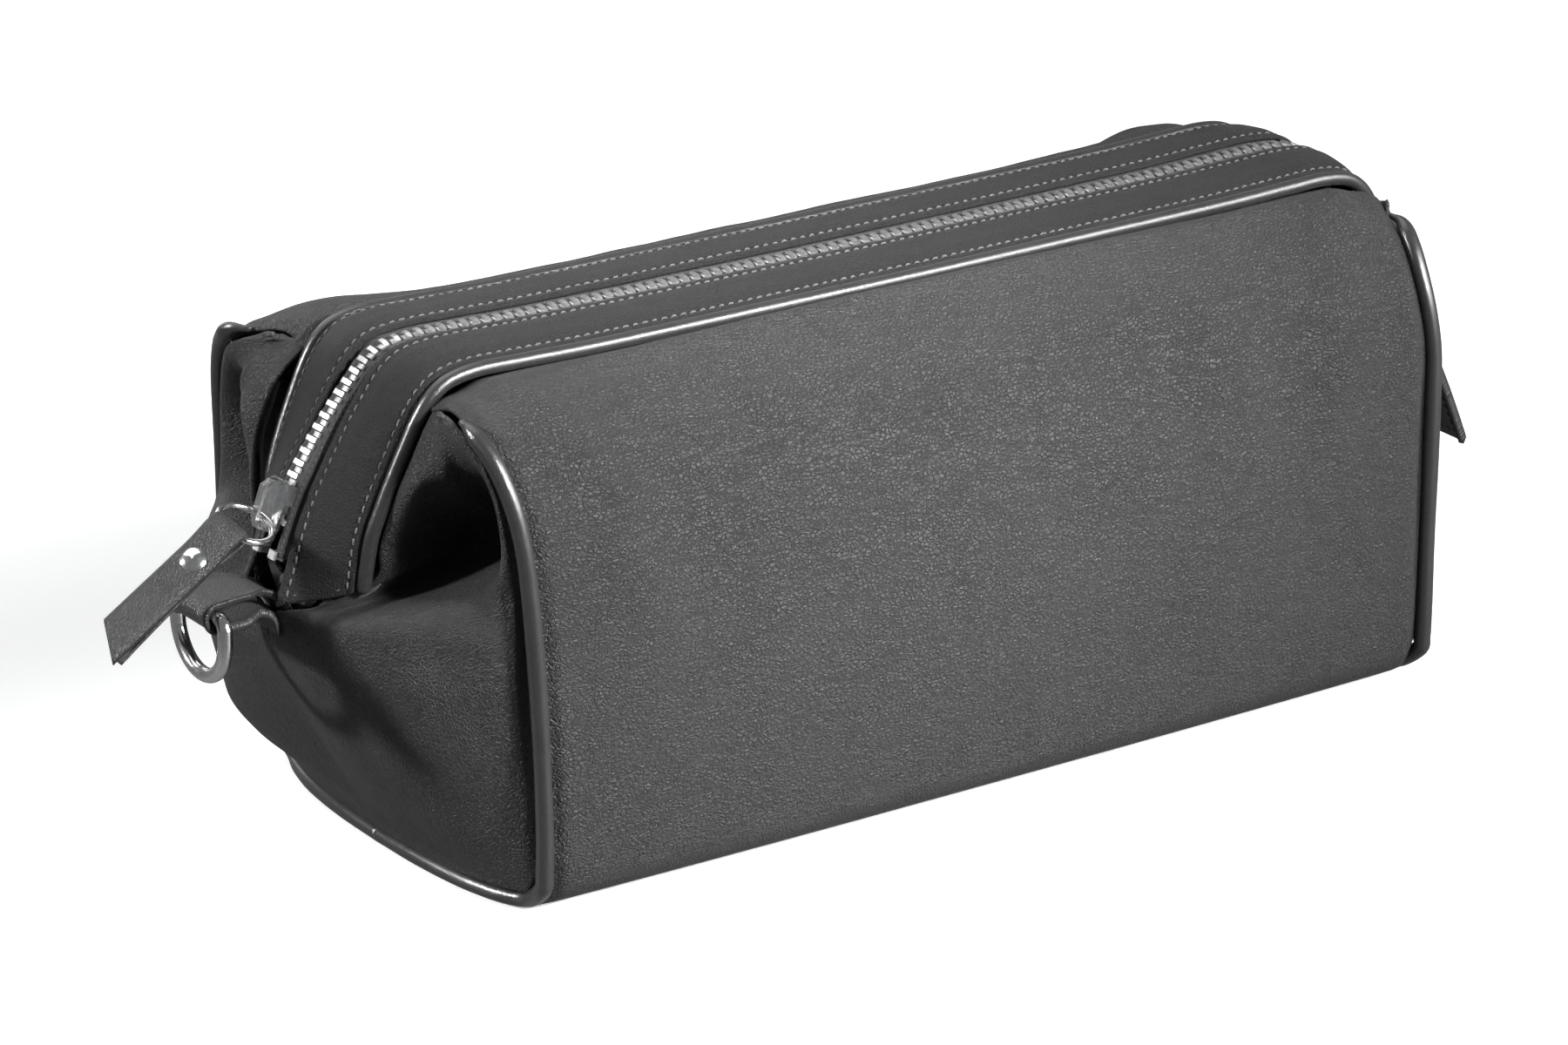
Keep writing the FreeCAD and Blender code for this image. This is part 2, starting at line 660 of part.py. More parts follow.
# stops: a clamped pair below the slider, one block at the far end
def top_stop():
    s = s_at_z(70.2)
    u = u_at(s)
    q, n, t = chain(u)
    poly = [(-4.0, -1.65), (-1.9, -1.65), (-1.9, 1.25), (-4.0, 1.25), (-4.0, 0.62), (-2.85, 0.62), (-2.85, -1.1), (-4.0, -1.1)]
    f = Part.Face(Part.makePolygon([V(0, y, z) for y, z in poly] + [V(0, poly[0][0], poly[0][1])]))
    b = f.extrude(V(1.8, 0, 0))
    b.translate(V(-0.9, -0.05, 0))
    return place(b, q, t, (0.0, 1.0, 0.0), n)


save("front_top_stop", top_stop())
save("rear_top_stop", mirror_y(top_stop()))

q, n, t = chain(LAST - 1.75)
b = Part.makeBox(3.0, 5.2, 2.9, V(-1.5, -2.6, -1.45))
b = b.makeFillet(0.5, b.Edges)
b = b.cut(Part.makeBox(4, 1.85, 1.5, V(-2, -2.7, -0.75))).cut(Part.makeBox(4, 1.85, 1.5, V(-2, 0.85, -0.75)))
# the far stop closes both tapes, so it is fixed to the bag's end by the tab that covers it
bottom_stop = place(b, q, t, (0.0, 1.0, 0.0), n)
save("bottom_stop", bottom_stop)

# ---- slider -------------------------------------------------------------
SL_U = u_at(s_at_z(79.0))
sc, sn, st = chain(SL_U)
SL_T = unit((0.36, 0.0, 0.933))
SL_N = (-SL_T[2], 0.0, SL_T[0])


def sl(x, y, z):
    return add(add(add(sc, SL_T, x), (0.0, 1.0, 0.0), y), SL_N, z)


def sl_place(shape):
    return place(shape, sc, SL_T, (0.0, 1.0, 0.0), SL_N)


top_poly = [(5.6, -2.6), (5.0, -3.7), (1.0, -3.8), (-4.2, -2.9), (-5.6, -2.1), (-5.6, 2.1), (-4.2, 2.9), (1.0, 3.8), (5.0, 3.7), (5.6, 2.6)]
low_poly = [(5.0, -2.0), (4.6, -2.9), (1.0, -3.2), (-4.0, -2.6), (-5.2, -2.0), (-5.2, 2.0), (-4.0, 2.6), (1.0, 3.2), (4.6, 2.9), (5.0, 2.0)]
plate = prism(top_poly, 1.32, 2.5)
under = prism(low_poly, -2.7, -1.72)
post = prism([(-1.0, 0.0), (-2.4, -0.62), (-5.0, -0.5), (-5.0, 0.5), (-2.4, 0.62)], -1.74, 1.34)
fl = [(5.0, 3.1), (5.0, 3.68), (1.0, 3.78), (-3.4, 3.1), (-3.4, 2.95)]
wings_up = prism([(5.0, 3.25), (5.0, 3.7), (1.0, 3.8), (1.0, 3.25)], 0.62, 1.34)
body = plate.fuse([under, post, wings_up, mirror_y(wings_up)]).removeSplitter()
save("slider_body", sl_place(body))

# bridge that carries the ring
prof = [(4.6, 2.52), (5.4, 2.52), (5.2, 4.8), (3.6, 6.4), (-3.2, 6.4), (-5.2, 5.3), (-5.6, 2.52), (-4.75, 2.52), (-4.55, 4.85), (-2.9, 5.62), (3.3, 5.6), (4.4, 4.5)]
f = Part.Face(Part.makePolygon([V(x, -1.0, z) for x, z in prof] + [V(prof[0][0], -1.0, prof[0][1])]))
bail = f.extrude(V(0, 2.0, 0))
save("slider_bail", sl_place(bail))

# ---- pull: ring, doubled strap, rivet ------------------------------------
B = sl(-3.0, 0.0, 3.95)
W = unit((0.30, -0.847, -0.44))
d = unit((-0.927, -0.367, 0.074))
d = unit(sub(d, mul(W, dot(d, W))))
ring_c = add(B, d, RING_R)
rn = cross(d, W)
ring = Part.makeTorus(RING_R, RING_WIRE, V(*ring_c), V(*rn))
save("pull_ring", ring)

Lp = add(B, d, 2 * RING_R)
L = unit((-0.846, -0.048, -0.53))
L = unit(sub(L, mul(W, dot(L, W))))
N = cross(L, W)
R_IN = RING_WIRE + 0.55
T1 = 1.15
SW = 4.1


def strap_slab(path, t0, t1, half, tip=None):
    # sheet that follows path (x, z) with thickness between offsets t0 and t1 to its left side
    def grid(t):
        out = []
        m = len(path)
        for i in range(m):
            a, b = path[max(i - 1, 0)], path[min(i + 1, m - 1)]
            tx, tz = b[0] - a[0], b[1] - a[1]
            k = math.hypot(tx, tz)
            nx, nz = -tz / k, tx / k
            h0, h1 = half(i)
            out.append([(path[i][0] + nx * t, h0 + (h1 - h0) * j / 2.0, path[i][1] + nz * t) for j in range(3)])
        return out
    return grid(t0), grid(t1)


# centre path of the strap: lower layer, round the wire, upper layer
mid_r = R_IN + T1 / 2.0
low = [(34.0, -3.0), (30.0, -2.4), (26.0, -1.95), (20.0, -1.35), (14.0, -0.85), (10.0, -0.66), (7.0, -0.66), (5.4, -0.74), (3.6, -1.3), (1.9, -1.85)]
fold = [(mid_r * math.cos(a), mid_r * math.sin(a)) for a in [math.pi * (1.5 - i / 10.0) for i in range(0, 11)]]
high = [(1.9, 1.85), (3.6, 1.3), (5.4, 0.74), (7.0, 0.66), (10.0, 0.66), (14.0, 0.66), (20.0, 0.68), (26.0, 0.7), (32.0, 0.71), (37.5, 0.72)]
path = low + fold + high
dense = resample([(x, 0.0, z) for x, z in path], 81)
path = [(p[0], p[2]) for p in dense]
m = len(path)


def side_line(path, t):
    # the path moved sideways by t, in the plane of the strap's edge
    out = []
    k = len(path)
    for i in range(k):
        a, b = path[max(i - 1, 0)], path[min(i + 1, k - 1)]
        tx, tz = b[0] - a[0], b[1] - a[1]
        h = math.hypot(tx, tz)
        out.append(V(path[i][0] - tz / h * t, -SW, path[i][1] + tx / h * t))
    return out


ea, eb = side_line(path, T1 / 2.0), side_line(path, -T1 / 2.0)
edge_wire = Part.makePolygon(ea + list(reversed(eb)) + [ea[0]])
puller = Part.Face(edge_wire).extrude(V(0, 2 * SW, 0))
# both tips are cut on the slant: the lower edge (towards +W) is the longer
slant = Part.Face(Part.makePolygon([V(29.0, -6, -8), V(37.0, 6, -8), V(60, 6, -8), V(60, -6, -8), V(29.0, -6, -8)])).extrude(V(0, 0, 16))
rivet_hole = Part.makeCylinder(1.27, 12, V(9.4, 0, -6))


def pl_place(shape):
    return place(shape, Lp, L, W, N)


cutp = puller.cut(slant).cut(rivet_hole)
# the fold is a narrow neck, so that the ring's curve leaves it freely on both sides
for y0 in (2.25, -7.25):
    cutp = cutp.cut(Part.makeBox(9.0, 5.0, 16.0, V(-7.1, y0, -8.0)))
print("puller", puller.isValid(), cutp.isValid(), cutp.Volume, len(cutp.Solids))
save("puller_strap", pl_place(cutp))
zt = 0.66 + T1 / 2.0 + 0.06
rivet = Part.makeCylinder(1.22, 2 * zt, V(9.4, 0, -zt))
cap = Part.makeSphere(4.6, V(9.4, 0, zt - 3.75), V(0, 0, 1), 0, 90, 360).common(Part.makeCylinder(2.7, 3, V(9.4, 0, zt)))
cap2 = Part.makeCylinder(2.5, 0.5, V(9.4, 0, -zt - 0.5))
rivet = rivet.fuse([cap, cap2]).removeSplitter()
save("puller_rivet", pl_place(rivet))

# ---- D-ring and its strap ------------------------------------------------
DX, DZ = D_BAR
r_in = D_WIRE + 0.08
r_mid = r_in + STRAP_T / 2.0
dpath = [(-143.2, 55.6), (-143.6, 58.4), (-145.9, 61.6), (-149.7, 63.5), (-155.0, 64.2), (DX + 1.2, DZ + r_mid + 0.03)]
dpath += [(DX + r_mid * math.cos(a), DZ + r_mid * math.sin(a)) for a in [math.pi * (0.5 + i / 10.0) for i in range(0, 11)]]
dpath += [(DX + 1.4, DZ - r_mid + 0.02), (-155.5, 59.1), (-151.0, 59.6), (-147.9, 58.9), (-146.0, 56.8), (-145.2, 54.2)]
dd = resample([(x, 0.0, z) for x, z in dpath], 71)
dpath = [(p[0], p[2]) for p in dd]
mdp = len(dpath)


D_NARROW, D_WIDE = 5.4, 7.1


def edge_points(path, t, y):
    out = []
    k = len(path)
    for i in range(k):
        a, b = path[max(i - 1, 0)], path[min(i + 1, k - 1)]
        tx, tz = b[0] - a[0], b[1] - a[1]
        h = math.hypot(tx, tz)
        out.append(V(path[i][0] - tz / h * t, y, path[i][1] + tx / h * t))
    return out


ea, eb = edge_points(dpath, STRAP_T / 2.0, -D_WIDE), edge_points(dpath, -STRAP_T / 2.0, -D_WIDE)
dwire = Part.makePolygon(ea + list(reversed(eb)) + [ea[0]])
dstrap = Part.Face(dwire).extrude(V(0, 2 * D_WIDE, 0))
for sy in (-1.0, 1.0):
    # the strap narrows where it goes in behind the bands
    f = Part.Face(Part.makePolygon([V(-154.0, sy * (D_WIDE + 0.01), 30), V(-149.0, sy * D_NARROW, 30), V(-130.0, sy * D_NARROW, 30), V(-130.0, sy * 12, 30), V(-154.0, sy * 12, 30), V(-154.0, sy * (D_WIDE + 0.01), 30)]))
    dstrap = dstrap.cut(f.extrude(V(0, 0, 50)))
print("d strap", dstrap.isValid(), dstrap.Volume, len(dstrap.Solids))
save("d_ring_strap", dstrap)

hw, top, corner = 9.6, DZ, 2.6
low_z = DZ - 4.6
parts = [Part.makeCylinder(D_WIRE, 2 * (hw - corner), V(DX, -(hw - corner), top), V(0, 1, 0))]
parts.append(Part.makeCylinder(D_WIRE, top - corner - low_z, V(DX, hw, low_z), V(0, 0, 1)))
parts.append(Part.makeCylinder(D_WIRE, top - corner - low_z, V(DX, -hw, low_z), V(0, 0, 1)))


def bend(cy, cz, radius, a0, a1):
    # round wire turned about X from angle a0 to a1, measured from +Y towards +Z
    a = math.radians(a0)
    c = Part.Wire(Part.makeCircle(D_WIRE, V(DX, cy + radius * math.cos(a), cz + radius * math.sin(a)), V(0, -math.sin(a), math.cos(a))))
    return Part.Face(c).revolve(V(DX, cy, cz), V(1, 0, 0), a1 - a0)


parts.append(bend(hw - corner, top - corner, corner, 0, 90))
parts.append(bend(-(hw - corner), top - corner, corner, 90, 180))
parts.append(bend(0.0, low_z, hw, 180, 360))
dring = parts[0].multiFuse(parts[1:])
print("d ring", dring.isValid(), dring.Volume, len(dring.Solids), sum(q.Volume for q in parts))
if not dring.isValid() or len(dring.Solids) != 1:
    dring = Part.makeCompound(parts)
save("d_ring", dring)

# ---- tab over the zipper's far end ---------------------------------------
tp = [(146.2, 62.0), (149.5, 60.2), (152.6, 56.6), (155.6, 51.0), (158.6, 44.5), (161.4, 38.0), (163.6, 32.6)]
tp = [(p[0], p[2]) for p in resample([(x, 0.0, z) for x, z in tp], 21)]
ga, gb = strap_slab(tp, -1.25, 1.25, lambda i: (-5.4 - 3.0 * smooth(2, 8, i), 5.4 + 3.0 * smooth(2, 8, i)))
save("zipper_end_tab", slab(ga, gb))

# ---- linings --------------------------------------------------------------
front_lining = slab(panel_grid(LEATHER + 0.5, 3.4, PN - 1.6, 25, 17, 4.6), panel_grid(LEATHER + 0.5 + LINING, 3.4, PN - 1.6, 25, 17, 4.6))
save("front_lining", front_lining)
save("rear_lining", mirror_y(front_lining))
g_lin = gusset_grid()
sub_g = [[g_lin[i][j] for j in range(2, NS)] for i in range(2, 17)]
l_out = offset_grid(sub_g, LEATHER + 0.5, G_IN)
l_in = offset_grid(sub_g, LEATHER + 0.5 + LINING, G_IN)
l_half = slab(l_out, l_in).common(keep)
ll = Part.makeCompound([l_half, mirror_y(l_half)])
save("left_end_lining", ll)
save("right_end_lining", mirror_x(ll))
print("slider centre", sc, "ring pivot", B, "strap pivot", Lp, "W", W, "L", L, "N", N, "T", SL_T)
for u in (SL_U, SL_U + 1.2, SL_U + 2.6, SL_U + 3.6):
    print("chain", u, chain(u)[0])
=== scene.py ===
import bpy
import json
import math
import numpy as np
from mathutils import Vector, Matrix
from mathutils import noise as mnoise

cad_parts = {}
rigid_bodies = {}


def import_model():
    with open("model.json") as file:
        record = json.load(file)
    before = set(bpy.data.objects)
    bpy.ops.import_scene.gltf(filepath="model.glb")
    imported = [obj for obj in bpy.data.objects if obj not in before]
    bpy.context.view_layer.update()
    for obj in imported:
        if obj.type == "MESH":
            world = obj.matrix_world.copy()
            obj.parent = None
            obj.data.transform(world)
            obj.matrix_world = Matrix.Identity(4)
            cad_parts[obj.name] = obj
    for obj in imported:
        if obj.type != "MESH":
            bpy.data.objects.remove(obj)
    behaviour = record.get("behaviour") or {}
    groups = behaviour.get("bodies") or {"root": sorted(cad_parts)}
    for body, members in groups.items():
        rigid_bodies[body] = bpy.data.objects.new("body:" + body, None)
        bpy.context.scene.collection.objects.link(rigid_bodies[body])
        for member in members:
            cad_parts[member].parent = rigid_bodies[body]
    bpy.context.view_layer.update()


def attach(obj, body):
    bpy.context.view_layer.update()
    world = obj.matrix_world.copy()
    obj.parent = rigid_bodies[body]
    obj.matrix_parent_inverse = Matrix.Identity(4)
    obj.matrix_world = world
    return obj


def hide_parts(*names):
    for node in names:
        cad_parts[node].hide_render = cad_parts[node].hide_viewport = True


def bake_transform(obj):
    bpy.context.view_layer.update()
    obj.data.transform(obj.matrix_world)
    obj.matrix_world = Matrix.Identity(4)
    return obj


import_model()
MM = 0.001
rng = np.random.default_rng(7)

# ------------------------------------------------------------------ helpers


def V3(p):
    return np.array(p, float)


def cr(table, t):
    """Catmull-Rom through the table's rows; t is an array counted in rows."""
    P = np.asarray(table, float)
    n = len(P) - 1
    t = np.clip(np.atleast_1d(np.asarray(t, float)), 0, n)
    i = np.minimum(t.astype(int), n - 1)
    f = (t - i)[:, None]
    p1, p2 = P[i], P[i + 1]
    p0 = np.where((i > 0)[:, None], P[np.maximum(i - 1, 0)], 2 * p1 - p2)
    p3 = np.where((i + 2 <= n)[:, None], P[np.minimum(i + 2, n)], 2 * p2 - p1)
    return 0.5 * (2 * p1 + (p2 - p0) * f + (2 * p0 - 5 * p1 + 4 * p2 - p3) * f * f + (3 * p1 - p0 - 3 * p2 + p3) * f ** 3)


def arclen(P):
    d = np.linalg.norm(np.diff(P, axis=0), axis=1)
    return np.concatenate([[0], np.cumsum(d)])


def resample(P, n, dense=True):
    P = np.asarray(P, float)
    if dense:
        P = cr(P, np.linspace(0, len(P) - 1, 600))
    s = arclen(P)
    w = np.linspace(0, s[-1], n)
    return np.stack([np.interp(w, s, P[:, k]) for k in range(3)], 1)


def smooth(a, b, x):
    t = np.clip((np.asarray(x, float) - a) / (b - a), 0, 1)
    return t * t * (3 - 2 * t)


def unit(v):
    v = np.asarray(v, float)
    return v / np.maximum(np.linalg.norm(v, axis=-1, keepdims=True), 1e-12)


def normals(G, inside):
    """Normals of a grid of points (n, m, 3), pointing away from `inside`."""
    du, dv = np.gradient(G, axis=0), np.gradient(G, axis=1)
    N = unit(np.cross(du, dv))
    c = G[G.shape[0] // 2, G.shape[1] // 2] - V3(inside)
    if N[G.shape[0] // 2, G.shape[1] // 2] @ c < 0:
        N = -N
    return N


def make(name, verts, faces, mat, uv=None, smooth_shade=True):
    me = bpy.data.meshes.new(name)
    me.from_pydata([tuple(v) for v in np.asarray(verts) * MM], [], [tuple(int(i) for i in f) for f in faces])
    if uv is not None:
        layer = me.uv_layers.new(name="UVMap")
        loops = np.zeros(len(me.loops), np.int32)
        me.loops.foreach_get("vertex_index", loops)
        layer.data.foreach_set("uv", (np.asarray(uv, float)[loops] * 0.1).astype(np.float32).ravel())
    me.materials.append(mat)
    me.validate()
    if smooth_shade:
        me.polygons.foreach_set("use_smooth", np.ones(len(me.polygons), bool))
    me.update()
    ob = bpy.data.objects.new(name, me)
    bpy.context.scene.collection.objects.link(ob)
    return ob


def grid_faces(n, m, off=0, flip=False, wrap=False):
    i, j = np.meshgrid(np.arange(n - 1), np.arange(m if wrap else m - 1), indexing="ij")
    a = off + i * m + j
    b = off + i * m + (j + 1) % m
    c = off + (i + 1) * m + (j + 1) % m
    d = off + (i + 1) * m + j
    f = np.stack([a, d, c, b] if flip else [a, b, c, d], -1).reshape(-1, 4)
    return f


def surf_uv(G):
    """Lengths along both directions of a grid, as flat as they come."""
    n, m = G.shape[:2]
    du = np.linalg.norm(np.diff(G, axis=0), axis=2).mean(1)
    dv = np.linalg.norm(np.diff(G, axis=1), axis=2)
    u = np.concatenate([[0], np.cumsum(du)])
    v = np.concatenate([np.zeros((n, 1)), np.cumsum(dv, 1)], 1)
    v = v - v[:, m // 2][:, None]
    return np.stack([np.repeat(u[:, None], m, 1), v], -1)


def sheet(name, G, N, t, mat, edge=0.35, uv=None, open_rows=None):
    """A sheet of leather or cloth: outer grid G, normals N, thickness t, with rounded edges. open_rows: rows whose last column meets its mirror image and has no edge of its own."""
    n, m = G.shape[:2]
    uv = surf_uv(G) if uv is None else uv
    # step the outermost ring in a little, and give the edge a rounded side
    O = G.copy()
    I = G - N * t
    Mid = G - N * t * 0.5
    du, dv = unit(np.gradient(G, axis=0)), unit(np.gradient(G, axis=1))
    # give the edge a rounded side
    out = np.zeros_like(G)
    out[0] -= du[0]; out[-1] += du[-1]
    out[:, 0] -= dv[:, 0]; out[:, -1] += dv[:, -1]
    Mid = Mid + out * edge * t
    ring = [(i, 0) for i in range(n)] + [(n - 1, j) for j in range(1, m)] + [(i, m - 1) for i in range(n - 2, -1, -1)] + [(0, j) for j in range(m - 2, 0, -1)]
    verts = np.concatenate([O.reshape(-1, 3), I.reshape(-1, 3), np.array([Mid[i, j] for i, j in ring])])
    nm = n * m
    faces = list(grid_faces(n, m)) + list(grid_faces(n, m, nm, flip=True))
    k = len(ring)
    for a in range(k):
        b = (a + 1) % k
        ia, ib = ring[a][0] * m + ring[a][1], ring[b][0] * m + ring[b][1]
        if open_rows is not None and ring[a][1] == m - 1 and ring[b][1] == m - 1 and open_rows[ring[a][0]] and open_rows[ring[b][0]]:
            continue
        faces.append((ia, 2 * nm + a, 2 * nm + b, ib))
        faces.append((2 * nm + a, nm + ia, nm + ib, 2 * nm + b))
    U = np.concatenate([uv.reshape(-1, 2), uv.reshape(-1, 2), np.array([uv[i, j] for i, j in ring])])
    ob = make(name, verts, faces, mat, U)
    fix_normals(ob)
    return ob


def fix_normals(ob):
    import bmesh
    bm = bmesh.new()
    bm.from_mesh(ob.data)
    bmesh.ops.recalc_face_normals(bm, faces=bm.faces)
    bm.to_mesh(ob.data)
    bm.free()


def tube(name, P, r, mat, seg=14, caps=True, flat=1.0, ref0=(0, 1, 0)):
    P = np.asarray(P, float)
    n = len(P)
    T = unit(np.gradient(P, axis=0))
    ref = V3(ref0)
    if abs(T[0] @ ref) > 0.9:
        ref = V3((0, 0, 1))
    rr = np.full(n, float(r)) if np.isscalar(r) else np.asarray(r, float)
    rows = []
    for i in range(n):
        ref = unit(ref - T[i] * (T[i] @ ref))
        side = np.cross(T[i], ref)
        a = np.linspace(0, 2 * np.pi, seg, endpoint=False)
        rows.append(P[i] + rr[i] * (np.cos(a)[:, None] * ref * flat + np.sin(a)[:, None] * side))
    G = np.array(rows)
    s = arclen(P)
    uv = np.stack([np.repeat(s[:, None], seg, 1), np.repeat(np.linspace(0, 2 * np.pi * rr.mean(), seg)[None], n, 0)], -1)
    verts = G.reshape(-1, 3)
    U = uv.reshape(-1, 2)
    faces = list(grid_faces(n, seg, wrap=True))
    if caps:
        # domed ends
        for end, i, sgn in ((0, 0, -1), (1, n - 1, 1)):
            base = i * seg
            k = len(verts)
            r2 = P[i] + (G[i] - P[i]) * 0.7 + T[i] * sgn * rr[i] * 0.45
            verts = np.concatenate([verts, r2, [P[i] + T[i] * sgn * rr[i] * 0.62]])
            U = np.concatenate([U, uv[i], [uv[i].mean(0)]])
            for j in range(seg):
                b = (j + 1) % seg
                faces.append((base + j, base + b, k + b, k + j))
                faces.append((k + j, k + b, k + seg))
    ob = make(name, verts, faces, mat, U)
    fix_normals(ob)
    return ob


def mirror_pts(G, ax):
    G = np.array(G, float)
    G[..., ax] *= -1
    return G


def join(name, obs):
    for o in bpy.context.selected_objects:
        o.select_set(False)
    for o in obs:
        o.select_set(True)
    bpy.context.view_layer.objects.active = obs[0]
    bpy.ops.object.join()
    obs[0].name = name
    obs[0].data.name = name
    return obs[0]


# ---------------------------------------------------------------- materials


class NT:
    def __init__(self, name):
        self.m = bpy.data.materials.new(name)
        self.m.use_nodes = True
        self.t = self.m.node_tree
        self.t.nodes.clear()
        self.out = self.t.nodes.new("ShaderNodeOutputMaterial")
        self.b = self.t.nodes.new("ShaderNodeBsdfPrincipled")
        self.t.links.new(self.b.outputs[0], self.out.inputs[0])

    def n(self, kind, **kw):
        x = self.t.nodes.new(kind)
        for k, v in kw.items():
            if k in x.inputs:
                x.inputs[k].default_value = v
            else:
                setattr(x, k, v)
        return x

    def link(self, a, b):
        self.t.links.new(a, b)

    def set(self, **kw):
        for k, v in kw.items():
            self.b.inputs[k.replace("_", " ")].default_value = v

    def ramp(self, fac, stops):
        r = self.t.nodes.new("ShaderNodeValToRGB")
        while len(r.color_ramp.elements) < len(stops):
            r.color_ramp.elements.new(0.5)
        for e, (p, c) in zip(r.color_ramp.elements, stops):
            e.position = p
            e.color = (c, c, c, 1) if np.isscalar(c) else (*c, 1)
        self.link(fac, r.inputs[0])
        return r.outputs[0]

    def math(self, op, a, b=None):
        x = self.t.nodes.new("ShaderNodeMath")
        x.operation = op
        for s, v in ((0, a), (1, b)):
            if v is None:
                continue
            if isinstance(v, (int, float)):
                x.inputs[s].default_value = v
            else:
                self.link(v, x.inputs[s])
        return x.outputs[0]


def leather(name, dark, light, rough=(0.36, 0.52), grain=1.0, bump=0.35, crease=0.25, coat=0.0, spec=0.5):
    """Soft fine-grain leather; UVs are in centimetres of leather."""
    k = NT(name)
    uv = k.n("ShaderNodeUVMap", uv_map="UVMap")
    mp = k.n("ShaderNodeMapping")
    k.link(uv.outputs[0], mp.inputs["Vector"])
    warp = k.n("ShaderNodeTexNoise", Scale=1.3, Detail=3.0, Roughness=0.55)
    k.link(mp.outputs[0], warp.inputs["Vector"])
    add = k.n("ShaderNodeVectorMath", operation="MULTIPLY_ADD")
    k.link(warp.outputs["Color"], add.inputs[0])
    add.inputs[1].default_value = (0.16, 0.16, 0.0)
    k.link(mp.outputs[0], add.inputs[2])
    # fine pebbled grain, cells about a millimetre across, drawn out a little along the bag
    st = k.n("ShaderNodeMapping")
    st.inputs["Scale"].default_value = (0.82, 1.0, 1.0)
    k.link(add.outputs[0], st.inputs["Vector"])
    vor = k.n("ShaderNodeTexVoronoi", feature="DISTANCE_TO_EDGE", Scale=11.5 * grain, Randomness=1.0)
    k.link(st.outputs[0], vor.inputs["Vector"])
    cell = k.ramp(vor.outputs["Distance"], [(0.0, 0.0), (0.10, 0.62), (0.32, 0.95), (1.0, 1.0)])
    vor2 = k.n("ShaderNodeTexVoronoi", feature="F1", Scale=26.0 * grain, Randomness=1.0)
    k.link(add.outputs[0], vor2.inputs["Vector"])
    fine = k.n("ShaderNodeTexNoise", Scale=42.0 * grain, Detail=4.0, Roughness=0.6)
    k.link(mp.outputs[0], fine.inputs["Vector"])
    # long soft creases
    cs = k.n("ShaderNodeMapping")
    cs.inputs["Rotation"].default_value = (0, 0, 0.55)
    cs.inputs["Scale"].default_value = (0.55, 1.9, 1.0)
    k.link(mp.outputs[0], cs.inputs["Vector"])
    cr_ = k.n("ShaderNodeTexNoise", Scale=2.1, Detail=6.0, Roughness=0.62, Distortion=0.5)
    k.link(cs.outputs[0], cr_.inputs["Vector"])
    creases = k.ramp(cr_.outputs["Fac"], [(0.0, 0.5), (0.46, 0.62), (0.5, 0.42), (0.54, 0.62), (1.0, 0.5)])
    h1 = k.math("MULTIPLY", cell, 0.55)
    h2 = k.math("MULTIPLY", vor2.outputs["Distance"], 0.35)
    h3 = k.math("MULTIPLY", fine.outputs["Fac"], 0.3)
    h = k.math("ADD", k.math("ADD", h1, h2), h3)
    h = k.math("ADD", h, k.math("MULTIPLY", creases, crease * 4))
    bp = k.n("ShaderNodeBump", Strength=bump, Distance=0.0006)
    k.link(h, bp.inputs["Height"])
    k.link(bp.outputs[0], k.b.inputs["Normal"])
    # colour: darker in the grain's lines as painted shade of the grain relief, lighter on its tops, over a slow random
    # tone
    tone = k.n("ShaderNodeTexNoise", Scale=0.45, Detail=4.0, Roughness=0.6)
    k.link(mp.outputs[0], tone.inputs["Vector"])
    f = k.math("ADD", k.math("MULTIPLY", cell, 0.55), k.math("MULTIPLY", tone.outputs["Fac"], 0.6))
    c = k.ramp(f, [(0.15, dark), (0.95, light)])
    k.link(c, k.b.inputs["Base Color"])
    rr = k.math("ADD", k.math("MULTIPLY", tone.outputs["Fac"], 0.5), k.math("MULTIPLY", fine.outputs["Fac"], 0.5))
    r = k.ramp(rr, [(0.3, rough[0]), (0.72, rough[1])])
    k.link(r, k.b.inputs["Roughness"])
    k.b.inputs["Specular IOR Level"].default_value = spec
    if coat:
        k.b.inputs["Coat Weight"].default_value = coat
        k.b.inputs["Coat Roughness"].default_value = 0.25
    k.b.inputs["Sheen Weight"].default_value = 0.04
    k.b.inputs["Sheen Roughness"].default_value = 0.5
    return k.m


def metal(name, col, rough, scratch=0.06):
    k = NT(name)
    tc = k.n("ShaderNodeTexCoord")
    n = k.n("ShaderNodeTexNoise", Scale=900.0, Detail=3.0, Roughness=0.6)
    k.link(tc.outputs["Object"], n.inputs["Vector"])
    mp = k.n("ShaderNodeMapping")
    mp.inputs["Scale"].default_value = (1, 1, 9)
    k.link(tc.outputs["Object"], mp.inputs["Vector"])
    s = k.n("ShaderNodeTexNoise", Scale=700.0, Detail=2.0)
    k.link(mp.outputs[0], s.inputs["Vector"])
    c = k.ramp(n.outputs["Fac"], [(0.3, tuple(x * 0.86 for x in col)), (0.7, col)])
    k.link(c, k.b.inputs["Base Color"])
    r = k.ramp(n.outputs["Fac"], [(0.25, max(rough - scratch, 0.03)), (0.75, rough + scratch)])
    k.link(r, k.b.inputs["Roughness"])
    bp = k.n("ShaderNodeBump", Strength=0.08, Distance=0.0001)
    k.link(s.outputs["Fac"], bp.inputs["Height"])
    k.link(bp.outputs[0], k.b.inputs["Normal"])
    k.set(Metallic=1.0)
    return k.m


